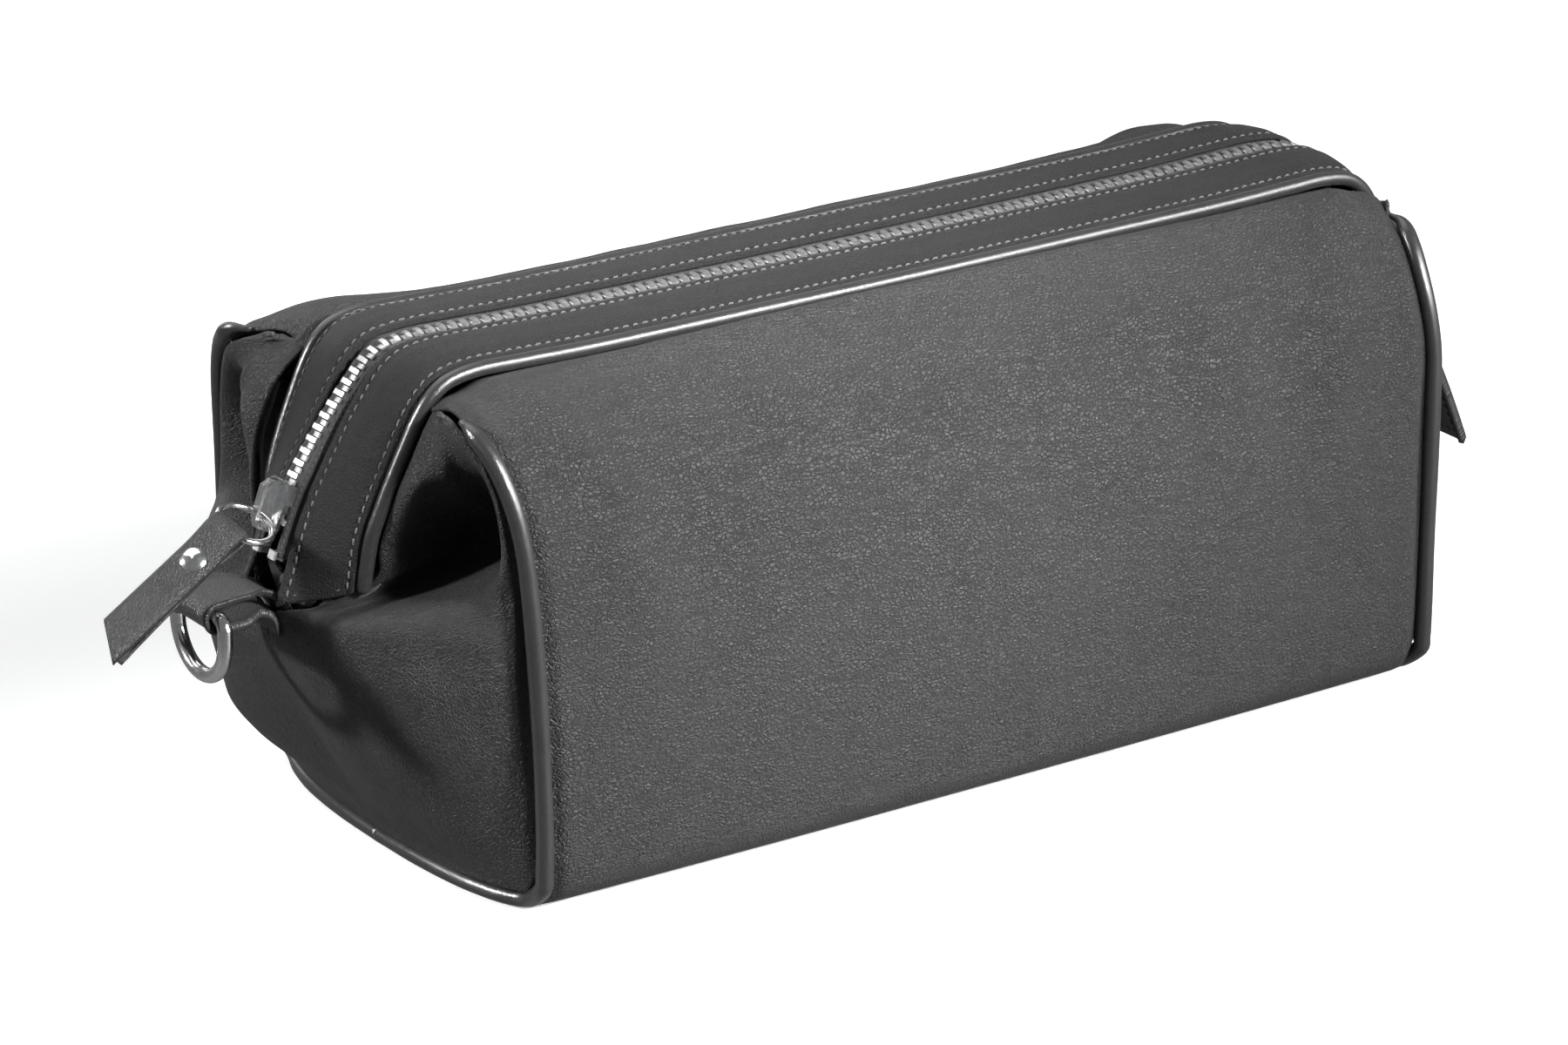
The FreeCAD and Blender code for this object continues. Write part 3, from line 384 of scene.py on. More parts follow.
def cloth(name, col, scale, bump=0.5, rough=0.85):
    k = NT(name)
    uv = k.n("ShaderNodeUVMap", uv_map="UVMap")
    w1 = k.n("ShaderNodeTexWave", wave_type="BANDS", bands_direction="X", Scale=scale, Distortion=0.3, Detail=1.0)
    w2 = k.n("ShaderNodeTexWave", wave_type="BANDS", bands_direction="Y", Scale=scale, Distortion=0.3, Detail=1.0)
    k.link(uv.outputs[0], w1.inputs["Vector"])
    k.link(uv.outputs[0], w2.inputs["Vector"])
    h = k.math("MULTIPLY", w1.outputs["Fac"], w2.outputs["Fac"])
    n = k.n("ShaderNodeTexNoise", Scale=scale * 0.4, Detail=4.0)
    k.link(uv.outputs[0], n.inputs["Vector"])
    h = k.math("ADD", h, k.math("MULTIPLY", n.outputs["Fac"], 0.4))
    bp = k.n("ShaderNodeBump", Strength=bump, Distance=0.0002)
    k.link(h, bp.inputs["Height"])
    k.link(bp.outputs[0], k.b.inputs["Normal"])
    c = k.ramp(h, [(0.1, tuple(x * 0.55 for x in col)), (1.0, tuple(min(x * 1.35, 1) for x in col))])
    k.link(c, k.b.inputs["Base Color"])
    r = k.ramp(n.outputs["Fac"], [(0.2, rough - 0.08), (0.8, rough + 0.05)])
    k.link(r, k.b.inputs["Roughness"])
    k.b.inputs["Sheen Weight"].default_value = 0.25
    return k.m


LEATHER = leather("leather_body", (0.009, 0.0088, 0.009), (0.021, 0.0205, 0.021), rough=(0.40, 0.56), bump=0.7, spec=0.36)
# band leather: a darker copy of the body leather, its base colour lowered as painted shade for the dark tops of the
# bands
BANDL_PAINTED_SHADE = leather("leather_band", (0.008, 0.0078, 0.008), (0.014, 0.0137, 0.014), rough=(0.44, 0.6), bump=0.5, grain=1.35, crease=0.1, spec=0.16)
PIPE = leather("leather_piping", (0.012, 0.0118, 0.012), (0.026, 0.0255, 0.026), rough=(0.24, 0.34), bump=0.15, grain=1.6, crease=0.1, coat=0.5)
FLESH = leather("leather_back", (0.03, 0.028, 0.027), (0.055, 0.05, 0.047), rough=(0.7, 0.85), bump=0.3, grain=2.2, crease=0.0, spec=0.25)
NICKEL = metal("nickel", (0.86, 0.86, 0.86), 0.16)
TEETHM = metal("nickel_teeth", (0.9, 0.9, 0.9), 0.34)
STEEL = metal("spring_steel", (0.5, 0.51, 0.53), 0.38)
TAPE = cloth("zipper_tape", (0.016, 0.016, 0.017), 16.0, bump=0.9)
LININGM = cloth("lining_cloth", (0.055, 0.056, 0.062), 11.0, bump=0.4, rough=0.75)
BOARD = cloth("fibre_board", (0.30, 0.25, 0.19), 3.0, bump=0.15, rough=0.9)
THREAD_Z = cloth("thread_black", (0.045, 0.045, 0.047), 40.0, bump=0.5, rough=0.6)
STRAPM = leather("leather_strap", (0.009, 0.0088, 0.009), (0.02, 0.0195, 0.02), rough=(0.38, 0.52), bump=0.4, grain=1.2, crease=0.1)
THREAD = cloth("thread", (0.10, 0.10, 0.105), 40.0, bump=0.5, rough=0.6)

# ------------------------------------------------------------- the bag's lines
mxp = lambda p: (-p[0], p[1], p[2])
BAND_IN = [
    (-147.8, -6.6, 61.4), (-145.2, -6.0, 67.5), (-142.2, -5.3, 75.0), (-138.8, -4.7, 82.0),
    (-134.6, -4.4, 89.0), (-130.2, -4.2, 96.0), (-126.0, -4.2, 102.0), (-121.6, -4.2, 107.2),
    (-116.5, -4.2, 110.0), (-108.0, -4.2, 110.8), (-98.0, -4.2, 110.6), (-78.0, -4.2, 110.0), (-40.0, -4.2, 109.7)]
BAND_OUT = [
    (-134.4, -19.0, 65.2), (-134.0, -19.6, 70.5), (-133.2, -20.3, 77.0), (-131.3, -20.9, 83.0),
    (-128.6, -21.3, 89.5), (-125.8, -21.6, 95.5), (-123.2, -21.8, 100.6), (-120.0, -22.0, 105.0),
    (-115.5, -22.0, 108.0), (-108.5, -22.0, 109.2), (-98.0, -22.0, 109.0), (-78.0, -22.0, 108.5), (-40.0, -22.0, 108.3)]
BAND_IN = BAND_IN + [(0.0, -4.2, 109.6)] + [mxp(p) for p in reversed(BAND_IN)]
BAND_OUT = BAND_OUT + [(0.0, -22.0, 108.2)] + [mxp(p) for p in reversed(BAND_OUT)]
LAST = float(len(BAND_IN) - 1)
ZIP_DEPTH = 1.65


def band(u, w, depth=0.0):
    """Points on the front band; u and w broadcast."""
    u, w = np.broadcast_arrays(np.asarray(u, float), np.asarray(w, float))
    sh = u.shape
    u, w = u.ravel(), w.ravel()

    def flat(u, w):
        a, b = cr(BAND_IN, u), cr(BAND_OUT, u)
        return a + (b - a) * w[:, None]
    p = flat(u, w)
    e = 0.02
    n = unit(np.cross(flat(np.clip(u + e, 0, LAST), w) - flat(np.clip(u - e, 0, LAST), w), flat(u, w + 0.05) - flat(u, w - 0.05)))
    s = np.sign(np.einsum("ij,ij->i", n, p - V3((0, 0, 60))))
    n = n * s[:, None]
    bow = 0.5 * np.sin(np.pi * np.clip(w, 0, 1))
    q = p + n * (bow - np.broadcast_to(np.asarray(depth, float), sh).ravel())[:, None]
    return q.reshape(sh + (3,)), n.reshape(sh + (3,))


END_PROFILE = [
    (-113.0, -34.0, 0.45), (-113.0, -43.5, 0.5), (-113.0, -50.0, 2.2), (-113.0, -54.0, 7.0), (-113.0, -55.0, 14.0),
    (-113.0, -55.0, 26.0), (-113.4, -54.8, 40.0), (-113.8, -54.4, 54.0), (-114.4, -53.8, 66.0), (-115.0, -53.0, 77.0),
    (-116.0, -51.6, 86.0), (-117.2, -48.8, 94.0), (-118.6, -44.6, 100.0), (-119.8, -39.2, 104.0), (-120.6, -32.6, 105.9),
    (-120.9, -25.6, 105.6)]
MID_PROFILE = [
    (0.0, -34.0, 0.45), (0.0, -44.5, 0.55), (0.0, -52.0, 2.7), (0.0, -56.6, 7.5), (0.0, -57.8, 15.0),
    (0.0, -57.8, 28.0), (0.0, -57.0, 42.0), (0.0, -55.8, 55.0), (0.0, -54.0, 67.0), (0.0, -51.2, 78.0),
    (0.0, -47.4, 87.0), (0.0, -42.6, 94.5), (0.0, -37.2, 100.0), (0.0, -31.8, 103.8), (0.0, -27.2, 106.2),
    (0.0, -24.6, 107.0)]
PN = len(END_PROFILE) - 1


def panel(x01, k, inset=0.0):
    x01, k = np.broadcast_arrays(np.asarray(x01, float), np.asarray(k, float))
    sh = x01.shape
    x01, k = x01.ravel(), k.ravel()
    e, m = cr(END_PROFILE, k), cr(MID_PROFILE, k)
    b = 1.0 - np.abs(x01) ** 2.6
    top = smooth(PN - 3.0, PN, k)
    y = e[:, 1] + (m[:, 1] - e[:, 1]) * b
    z = e[:, 2] + (m[:, 2] - e[:, 2]) * b
    x = x01 * (-e[:, 0] - inset)
    zline = 108.2 + 0.9 * smooth(70.0, 104.0, np.abs(x)) - 2.9 * smooth(108.0, 121.0, np.abs(x))
    z = z + (zline - 1.15 - z) * top * 0.9 * smooth(0.0, 0.25, b)
    return np.stack([x, y, z], 1).reshape(sh + (3,))


def seam_frame(k):
    k = np.atleast_1d(np.asarray(k, float))
    p = cr(END_PROFILE, k)
    a, b = cr(END_PROFILE, np.maximum(k - 0.05, 0)), cr(END_PROFILE, np.minimum(k + 0.05, PN))
    t = b - a
    t[:, 0] = 0
    t = unit(t)
    n = np.stack([np.zeros(len(k)), t[:, 2], -t[:, 1]], 1)
    s = np.sign(n[:, 1] * (0 - p[:, 1]) + n[:, 2] * (55 - p[:, 2]))
    return p, n * s[:, None]


def seam_offset(k, dx, dn):
    p, n = seam_frame(k)
    return p + V3((dx, 0, 0)) + n * dn


def opening_weight(P):
    """A weight for how far a point of the soft body would follow the frame on its own side (not applied to any piece):
    0 low on the bag, 1 at the band.
    """
    y, z = np.abs(P[:, 1]), P[:, 2]
    g = np.clip((z - 14.0) / 92.0, 0, 1)
    g = g * 0.75 + 0.25 * smooth(14.0, 106.0, z)
    low = g * smooth(3.0, 44.0, y)
    near = (1 - smooth(22.0, 47.0, y)) * smooth(50.0, 63.0, z)
    return low * (1 - near) + near


def settle(P):
    """The filled bag isn't quite symmetrical: its rear left corner stands out and its far top corner sinks in."""
    x, y, z = P[:, 0], P[:, 1], P[:, 2]
    free = 1 - smooth(94.0, 107.0, z) * (1 - smooth(24.0, 42.0, np.abs(y)))
    w = smooth(0.0, 36.0, y) * smooth(2.0, 26.0, z) * smooth(50.0, 113.0, -x) * free
    r = smooth(72.0, 103.0, z) * smooth(70.0, 117.0, x) * smooth(21.0, 38.0, np.abs(y))
    Q = P.copy()
    Q[:, 0] += -8.5 * w - 4.2 * r
    Q[:, 1] += 1.5 * w
    Q[:, 2] += -1.6 * r
    return Q


def follow(ob):
    """Give a soft piece the bag's uneven settled shape and bake its transform."""
    P = np.array([v.co for v in ob.data.vertices], float) / MM
    ob.data.vertices.foreach_set("co", (settle(P) * MM).astype(np.float32).ravel())
    ob.data.update()
    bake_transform(ob)
    P = np.array([v.co for v in ob.data.vertices], float) / MM
    return ob


def nz(P, scale, seed=0.0, depth=3):
    """Smooth noise at each point of an array (mm), about -1..1."""
    out = np.zeros(P.shape[:-1])
    flat = P.reshape(-1, 3)
    o = out.reshape(-1)
    for i, p in enumerate(flat):
        o[i] = mnoise.fractal((p[0] / scale + seed, p[1] / scale, p[2] / scale), 1.0, 2.0, depth)
    return out


PIECES = []


def keep(ob, body, slot, *nodes):
    """A finished piece: rides on its body, or is already bent by follow()."""
    if body:
        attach(ob, body)
    if nodes:
        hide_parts(*nodes)
    PIECES.append(ob)
    return ob


# ------------------------------------------------------------------ panels
BOTTOM_EDGE = [(-113.6, -46.6, 2.7), (-116.2, -39.0, 1.85), (-118.5, -29.0, 1.75), (-119.9, -15.0, 1.75), (-120.3, 0.0, 1.75)]
be = cr(BOTTOM_EDGE, np.linspace(0, 4, 80))


def edge_x(y):
    return np.interp(-np.abs(y), be[:, 1], -be[:, 0]) - 1.6


def panel_shape(nx, nk, k0, k1, inset, extra=0.0):
    xs = np.linspace(-1, 1, nx)
    xs = 0.45 * np.sin(xs * np.pi / 2) + 0.55 * xs
    ks = np.linspace(k0, k1, nk)
    G = panel(xs[:, None], ks[None], inset)
    low = (1 - smooth(1.2, 3.0, ks))[None]
    hx = edge_x(G[..., 1])
    G[..., 0] = np.where(low > 0, G[..., 0] + low * xs[:, None] * np.maximum(hx - 112.2, 0), G[..., 0])
    return G, xs, ks


def front_panel():
    nx, nk = 221, 151
    G, xs, ks = panel_shape(nx, nk, 0.0, PN, 0.8)
    N = normals(G, (0, 0, 55))
    X, Z = G[..., 0], G[..., 2]
    dx = (1 - np.abs(xs))[:, None] * 113.0
    left = (X < 0)
    k = ks[None]
    h = smooth(2.5, 6.0, k)                  # nothing on the floor side
    # soft roll of the leather beside each end seam, strongest near the top
    roll = np.exp(-((dx - 13.0 - 1.5 * (15 - k)) / 8.0) ** 2) * smooth(5.5, 9.5, k) * (1 - smooth(13.2, 15, k))
    dale = np.exp(-((dx - 29.0 - 1.5 * (15 - k)) / 11.0) ** 2) * smooth(6.0, 10.0, k) * (1 - smooth(13.0, 15, k))
    d = 1.3 * roll - 0.9 * dale
    # slack below the band, and broad unevenness of a soft filled bag
    d = d + 0.55 * nz(G, 46.0, 3.1, 2) * h * (1 - smooth(13.5, 15, k))
    d = d + 0.22 * nz(G * V3((1, 1, 0.55)), 15.0, 9.7, 3) * h * smooth(0, 12, dx) * (1 - smooth(13.5, 15, k))
    # pulls that run from the top corner down and away from the seam
    for s, (a, b, amp, wid) in enumerate([(20.0, 18.0, 0.42, 2.0), (30.0, 13.0, 0.36, 1.8), (42.0, 11.0, 0.28, 1.7), (56.0, 9.0, 0.2, 1.7)]):
        line = (dx - a) * 0.52 - (106.0 - Z) * 0.85 + b
        along = np.exp(-((dx - a) / 13.0) ** 2) * smooth(70, 82, Z) * (1 - smooth(101, 106, Z))
        d = d - amp * np.exp(-(line / wid) ** 2) * along * np.where(left, 1.0, 0.7)
    # small gathers along the end seams
    t = arclen(cr(END_PROFILE, ks))
    gather = np.sin(t / 5.3 + 1.7 * np.sin(t / 13.0))[None] * np.exp(-((dx - 3.5) / 3.2) ** 2)
    d = d + 0.1 * gather * h
    # the edges turn in towards their seams
    d = d - 1.5 * np.exp(-(dx / 1.7) ** 2) * smooth(1.5, 3.0, k)
    G = G + N * d[..., None]
    # the top edge goes in under the band's piping
    tuck = smooth(PN - 1.0, PN, k)
    G[..., 1] += 2.3 * tuck
    G[..., 2] += -1.1 * smooth(PN - 0.6, PN, k) + 0.5 * np.exp(-((k - PN + 0.75) / 0.4) ** 2)
    G[..., 2] = np.maximum(G[..., 2], 0.3)
    return G, normals(G, (0, 0, 55))


fp, fpn = front_panel()
keep(follow(sheet("front_panel_leather", fp, fpn, 1.2, LEATHER)), None, "leather", "front_panel")
rp, rpn = mirror_pts(fp, 1), mirror_pts(fpn, 1)
keep(follow(sheet("rear_panel_leather", rp, rpn, 1.2, LEATHER)), None, "leather", "rear_panel")


def flat_sheet(name, hw, hy, z, t, mat, ny=31, nx=81, wave=0.0):
    ys = np.linspace(-hy, hy, ny)
    G = np.zeros((nx, ny, 3))
    for j, y in enumerate(ys):
        G[:, j, 0] = np.linspace(-hw(y), hw(y), nx)
        G[:, j, 1] = y
    G[..., 2] = z
    if wave:
        G[..., 2] += wave * np.abs(nz(G, 30.0, 5.0, 2))
    N = np.zeros_like(G)
    N[..., 2] = 1
    return sheet(name, G, N, t, mat)


def round_rect(hx, hy, r):
    def f(y):
        a = np.clip(abs(y) - (hy - r), 0, r)
        return hx - (r - math.sqrt(max(r * r - a * a, 0)))
    return f


keep(flat_sheet("bottom_panel_leather", lambda y: float(np.interp(abs(y), [0, 15, 26, 33.6], [118.0, 117.6, 116.0, 114.6])), 33.6, 1.35, 1.35, LEATHER), "bag", "leather", "bottom_panel")
keep(flat_sheet("bottom_lining_cloth", round_rect(108, 47, 9), 47, 4.15, 0.7, LININGM, wave=0.25), "bag", "lining", "bottom_lining")

# ------------------------------------------------------------- end seams
upk = [3.0, 3.6, 4.5, 5.5, 6.5, 7.5, 8.5, 9.5, 10.5, 11.5, 12.3, 13.0]
up = [seam_offset(k, -1.2, 0.85)[0] for k in upk] + [seam_offset(13.5, -0.8, 1.5)[0] + V3((0.4, 0, -0.2))]
half = resample(list(reversed(up)) + [V3(p) for p in BOTTOM_EDGE], 190)
rad = 1.85 * (0.35 + 0.65 * smooth(0, 7.0, arclen(half))) * (1 + 0.03 * np.sin(arclen(half) / 7.0))
half_sink = half.copy()
half_sink[:, 2] = np.maximum(half[:, 2], rad + 0.02)
for side, sy in (("front", 1), ("rear", -1)):
    for end, sx in (("left", 1), ("right", -1)):
        p = half_sink * V3((sx, sy, 1))
        ob = tube("%s_end_piping_%s" % (end, side), p, rad, PIPE, seg=18)
        keep(follow(ob), None, "piping", end + "_end_piping")

# ---------------------------------------------------------------- gussets
G_SEAM = [(-114.7, -48.0, 4.6)] + [tuple(seam_offset(k, -2.0, 3.3)[0]) for k in [3.6, 4.6, 5.5, 6.5, 7.5, 8.5, 9.5, 10.5, 11.5, 12.5, 13.5, 14.4]]


def wing(u):
    p, n = band(u, 1.0)
    a, b = cr(BAND_IN, u)[0], cr(BAND_OUT, u)[0]
    return tuple(p - n * 1.6 + unit(b - a) * 1.9)


G_CENTRE = [(-121.3, 0.0, 3.7), (-125.6, 0.0, 12.0), (-131.4, 0.0, 22.0), (-137.0, 0.0, 32.0), (-141.6, 0.0, 42.0),
            (-145.0, 0.0, 51.0), (-146.0, -2.6, 56.8), (-145.3, -6.4, 59.3), (-140.4, -12.3, 61.4)] + [wing(u) for u in [0.35, 1.6, 3.0, 4.4, 5.6, 6.5, 7.0]]
G_BOTTOM = [(-114.7, -48.0, 4.6), (-117.0, -40.0, 3.9), (-119.6, -29.0, 3.75), (-120.9, -15.0, 3.7), (-121.3, 0.0, 3.7)]


def gusset(NTv, NSv):
    S, C, B = resample(G_SEAM, NTv), resample(G_CENTRE, NTv), resample(G_BOTTOM, NSv)
    s, t = np.linspace(0, 1, NSv), np.linspace(0, 1, NTv)
    T = S[-1] + (C[-1] - S[-1]) * s[:, None]
    ss, tt = s[None, :, None], t[:, None, None]
    a = S[:, None] * (1 - ss) + C[:, None] * ss
    b = B[None] * (1 - tt) + T[None] * tt
    c = (S[0] * (1 - ss) + C[0] * ss) * (1 - tt) + (S[-1] * (1 - ss) + C[-1] * ss) * tt
    P = a + b - c
    s2, t2 = s[None], t[:, None]
    low = smooth(0.0, 0.2, t2) * (1 - smooth(0.42, 0.6, t2))
    # rounded belly below: flat across the middle line
    run = np.abs(C[:, 0] - S[:, 0])[:, None]
    belly = run * (np.sin(np.pi / 2 * s2) - s2) * 0.95 * (1 - smooth(0.40, 0.58, t2)) * smooth(0.0, 0.12, t2)
    belly = belly + 1.6 * np.sin(np.pi * s2) ** 1.0 * low * (1 - s2)
    P = P + belly[..., None] * V3((-1, 0, 0))
    # the fold under the band: a deep pocket with a rolled lip beside the seam
    tc = 0.705 - 0.10 * (s2 - 0.5)
    w = np.where(t2 > tc, 0.105, 0.085 + 0.02 * s2)
    dent = 22.0 * np.exp(-np.abs((t2 - tc) / w) ** 2.2) * smooth(0.03, 0.34, s2) * (1 - smooth(0.70, 0.99, s2))
    P = P + dent[..., None] * V3((0.90, 0.36, -0.05))
    lip = 2.3 * np.exp(-((s2 - 0.12) / 0.085) ** 2) * np.exp(-((t2 - 0.68) / 0.17) ** 2) * np.sin(np.pi * s2) ** 0.3
    P = P + lip[..., None] * V3((-0.85, -0.5, 0.1))
    shelf = 3.0 * np.exp(-((s2 - 0.5) / 0.3) ** 2) * np.exp(-((t2 - 0.52 + 0.06 * (s2 - 0.5)) / 0.06) ** 2)
    P = P + shelf[..., None] * V3((-0.75, -0.25, 0.45))
    brow = 2.4 * np.exp(-((s2 - 0.72) / 0.2) ** 2) * np.exp(-((t2 - 0.845) / 0.045) ** 2)
    P = P + brow[..., None] * V3((-0.8, -0.45, 0.3))
    return P, s2 + 0 * t2, t2 + 0 * s2


GP, gs, gt = gusset(161, 81)
GN = normals(GP, (0, 0, 50))
# lively surface, edges turned in to the piping
away = np.minimum(smooth(0, 0.07, gs), smooth(0, 0.05, gt)) * smooth(0.0, 0.10, 1 - gs)
d = 0.5 * nz(GP, 26.0, 1.3, 3) * away
rays = np.arctan2((gt - 0.66) * 2.0, gs - 0.56)
rd = np.hypot((gt - 0.66) * 2.0, gs - 0.56)
d = d + 0.38 * np.sin(rays * 9.0 + 1.2 * np.sin(rays * 3.0)) * np.exp(-((rd - 0.42) / 0.17) ** 2) * away
d = d - 1.2 * np.exp(-(gs / 0.022) ** 2) * smooth(0.02, 0.1, gt)
GP = GP + GN * d[..., None]
GN = normals(GP, (0, 0, 50))


def ensure_mid(G):
    """The two halves of an end meet on the middle plane."""
    G = G.copy()
    low = G[:, -1, 2] < 51.8
    G[low, -1, 1] = 0.0
    G[..., 1] = np.minimum(G[..., 1], 0.0)
    return G


GP = ensure_mid(GP)
mid_rows = GP[:, -1, 2] < 51.8
GN[mid_rows, -1, 1] = 0
GN = unit(GN)


def half_weight(ob):
    """As follow(); it also works out opening weights, held back on the middle line of the end, which are not applied.
    """
    follow(ob)
    P = np.array([v.co for v in ob.data.vertices], float) / MM
    w = opening_weight(P)
    mid = smooth(0.3, 9.0, np.abs(P[:, 1]))
    w = w * (mid + (1 - mid) * smooth(59.0, 65.0, P[:, 2]))
    return ob


def ends(stem, G, N, t, mat, slot, nodefmt):
    low_rows = np.abs(G[:, -1, 1]) < 0.05
    for side, sy in (("front", 1), ("rear", -1)):
        for end, sx in (("left", 1), ("right", -1)):
            g, n = G * V3((sx, sy, 1)), N * V3((sx, sy, 1))
            ob = sheet("%s_%s_%s" % (end, stem, side), g, n, t, mat, open_rows=low_rows)
            keep(half_weight(ob), None, slot, nodefmt % end)


ends("gusset_leather", GP, GN, 1.2, LEATHER, "leather", "%s_gusset")
LI = GP - GN * 1.9
lsel = (slice(6, 150), slice(4, 81))
ends("end_lining_cloth", LI[lsel], GN[lsel], 0.6, LININGM, "lining", "%s_end_lining")

# ------------------------------------------------------------------ bands
WID = np.linalg.norm(cr(BAND_OUT, np.linspace(0, LAST, 50)) - cr(BAND_IN, np.linspace(0, LAST, 50)), axis=1).mean()


def band_grid(us, e, depth):
    """e: distances in mm from the zipper edge; depth under the face at each."""
    a, b = cr(BAND_IN, us), cr(BAND_OUT, us)
    wl = np.linalg.norm(b - a, axis=1)[:, None]
    w = np.where(e[None] < WID / 2, e[None] / wl, 1 - (WID - e[None]) / wl)
    return band(us[:, None] + 0 * w, w, depth[None] + 0 * w)


def mirror_sheet(name, G, N, t, mat, slot, node, body_of_side):
    for side, sy in (("front", 1), ("rear", -1)):
        ob = sheet(name % side, G * V3((1, sy, 1)), N * V3((1, sy, 1)), t, mat)
        keep(ob, side + "_frame", slot, node % side)


us = np.linspace(0.0, LAST, 521)
r0 = 0.75
e = np.concatenate([r0 * (1 - np.cos(np.linspace(0.0, np.pi / 2, 8))), np.linspace(r0, 3.6, 13)[1:], np.linspace(3.6, WID - 4.4, 10)[1:], np.linspace(WID - 4.4, WID - 1.35, 14)[1:]])
dep = np.where(e < r0, r0 - np.sqrt(np.maximum(r0 ** 2 - (r0 - e) ** 2, 0)), 0.0)
dep = dep + 0.24 * np.exp(-((e - 2.3) / 0.42) ** 2) + 0.24 * np.exp(-((WID - e - 3.4) / 0.42) ** 2)
dep = dep + 0.9 * np.exp(-((WID - 1.2 - e) / 0.7) ** 2)
dep = dep - 0.3 * smooth(2.4, 6.0, e) * smooth(3.6, 7.0, WID - e)
bg, bn = band_grid(us, e, dep)
wob = 0.12 * nz(bg, 14.0, 4.4, 3)
bg = bg + bn * wob[..., None] * smooth(0.5, 3.0, e)[None, :, None]
bnn = normals(bg, (0, 0, 60))
mirror_sheet("%s_band_leather", bg, bnn, 1.15, BANDL_PAINTED_SHADE, "leather", "%s_band", None)

# covered piping along the bands
pp, pn = band(np.linspace(0.03, LAST - 0.03, 700), 1.0, 1.0)
for side, sy in (("front", 1), ("rear", -1)):
    ob = tube("%s_band_piping_cord" % side, pp * V3((1, sy, 1)), 1.55, PIPE, seg=18)
    keep(ob, side + "_frame", "piping", side + "_band_piping")

# facings inside
ef = np.linspace(0.16 * WID, 0.86 * WID, 12)
fg, fn = band_grid(np.linspace(1.7, LAST - 1.7, 300), ef, np.full(len(ef), 2.4))
mirror_sheet("%s_band_facing_leather", fg, fn, 0.8, FLESH, "leather", "%s_band_facing", None)

# ------------------------------------------------------------- topstitching


def stitch_row(name, P, N, pitch, body, mat=THREAD, length=0.68, r=0.24, lift=0.06, lean=0.12, blend_side=None):
    """Separate stitches along a line, each a short bowed thread that dips into the leather at both ends."""
    s = arclen(P)
    n = int(s[-1] / pitch)
    verts, faces, U = [], [], []
    seg, rings = 6, 6
    T = unit(np.gradient(P, axis=0))

    def at(x):
        return np.array([np.interp(x, s, P[:, k]) for k in range(3)]), unit(np.array([np.interp(x, s, N[:, k]) for k in range(3)])), unit(np.array([np.interp(x, s, T[:, k]) for k in range(3)]))
    for i in range(n):
        c, nn, tt = at((i + 0.5) * s[-1] / n)
        side = np.cross(nn, tt)
        L = pitch * length * (1 + 0.08 * rng.standard_normal())
        a = lean * (1 + 0.3 * rng.standard_normal())
        base = len(verts)
        for j in range(rings):
            f = j / (rings - 1) - 0.5
            q = c + tt * f * L + side * a * f * 2 * 0.6 + nn * (lift - 2.2 * r * (2 * f) ** 4 * 0.7)
            rr = r * (1 - 0.35 * (2 * abs(f)) ** 3)
            for m in range(seg):
                an = 2 * np.pi * m / seg
                verts.append(q + rr * (math.cos(an) * side + math.sin(an) * nn * 0.85))
                U.append((f * L + i * pitch, m * r))
        for j in range(rings - 1):
            for m in range(seg):
                a0, a1 = base + j * seg + m, base + j * seg + (m + 1) % seg
                faces.append((a0, a0 + seg, a1 + seg, a1))
        faces.append(tuple(base + m for m in range(seg)))
        faces.append(tuple(base + (rings - 1) * seg + m for m in reversed(range(seg))))
    ob = make(name, verts, faces, mat, np.array(U))
    return ob


for tag, dist in (("inner", 2.3), ("outer", WID - 3.4)):
    g, n = band_grid(np.linspace(0.12, LAST - 0.12, 700), np.array([dist]), np.array([0.1]))
    g, n = g[:, 0], n[:, 0]
    for side, sy in (("front", 1), ("rear", -1)):
        ob = stitch_row("%s_band_stitches_%s" % (side, tag), g * V3((1, sy, 1)), n * V3((1, sy, 1)), 2.35, None)
        keep(ob, side + "_frame", None)
# a row across each band end
for end, u0 in (("left", 0.22), ("right", LAST - 0.22)):
    g, n = band_grid(np.array([u0, u0 + 0.001]), np.linspace(3.2, WID - 4.2, 30), np.full(30, 0.05))
    for side, sy in (("front", 1), ("rear", -1)):
        ob = stitch_row("%s_band_stitches_%s_end" % (side, end), g[0] * V3((1, sy, 1)), n[0] * V3((1, sy, 1)), 2.2, None)
        keep(ob, side + "_frame", None)

# ------------------------------------------------------------------- zipper


def zdepth(u):
    i = np.minimum(u, LAST - u)
    return ZIP_DEPTH - 2.4 * (1 - smooth(3.0, 8.0, i))


def chain(u, y=0.0, dn=0.0):
    u = np.atleast_1d(np.asarray(u, float))
    p = cr(BAND_IN, u)
    a, b = cr(BAND_IN, np.maximum(u - 0.02, 0)), cr(BAND_IN, np.minimum(u + 0.02, LAST))
    t = b - a
    t[:, 1] = 0
    t = unit(t)
    n = np.stack([-t[:, 2], 0 * t[:, 0], t[:, 0]], 1)
    q = p.copy()
    q[:, 1] = y
    q = q + n * (dn - zdepth(u))[:, None]
    return q, n, t


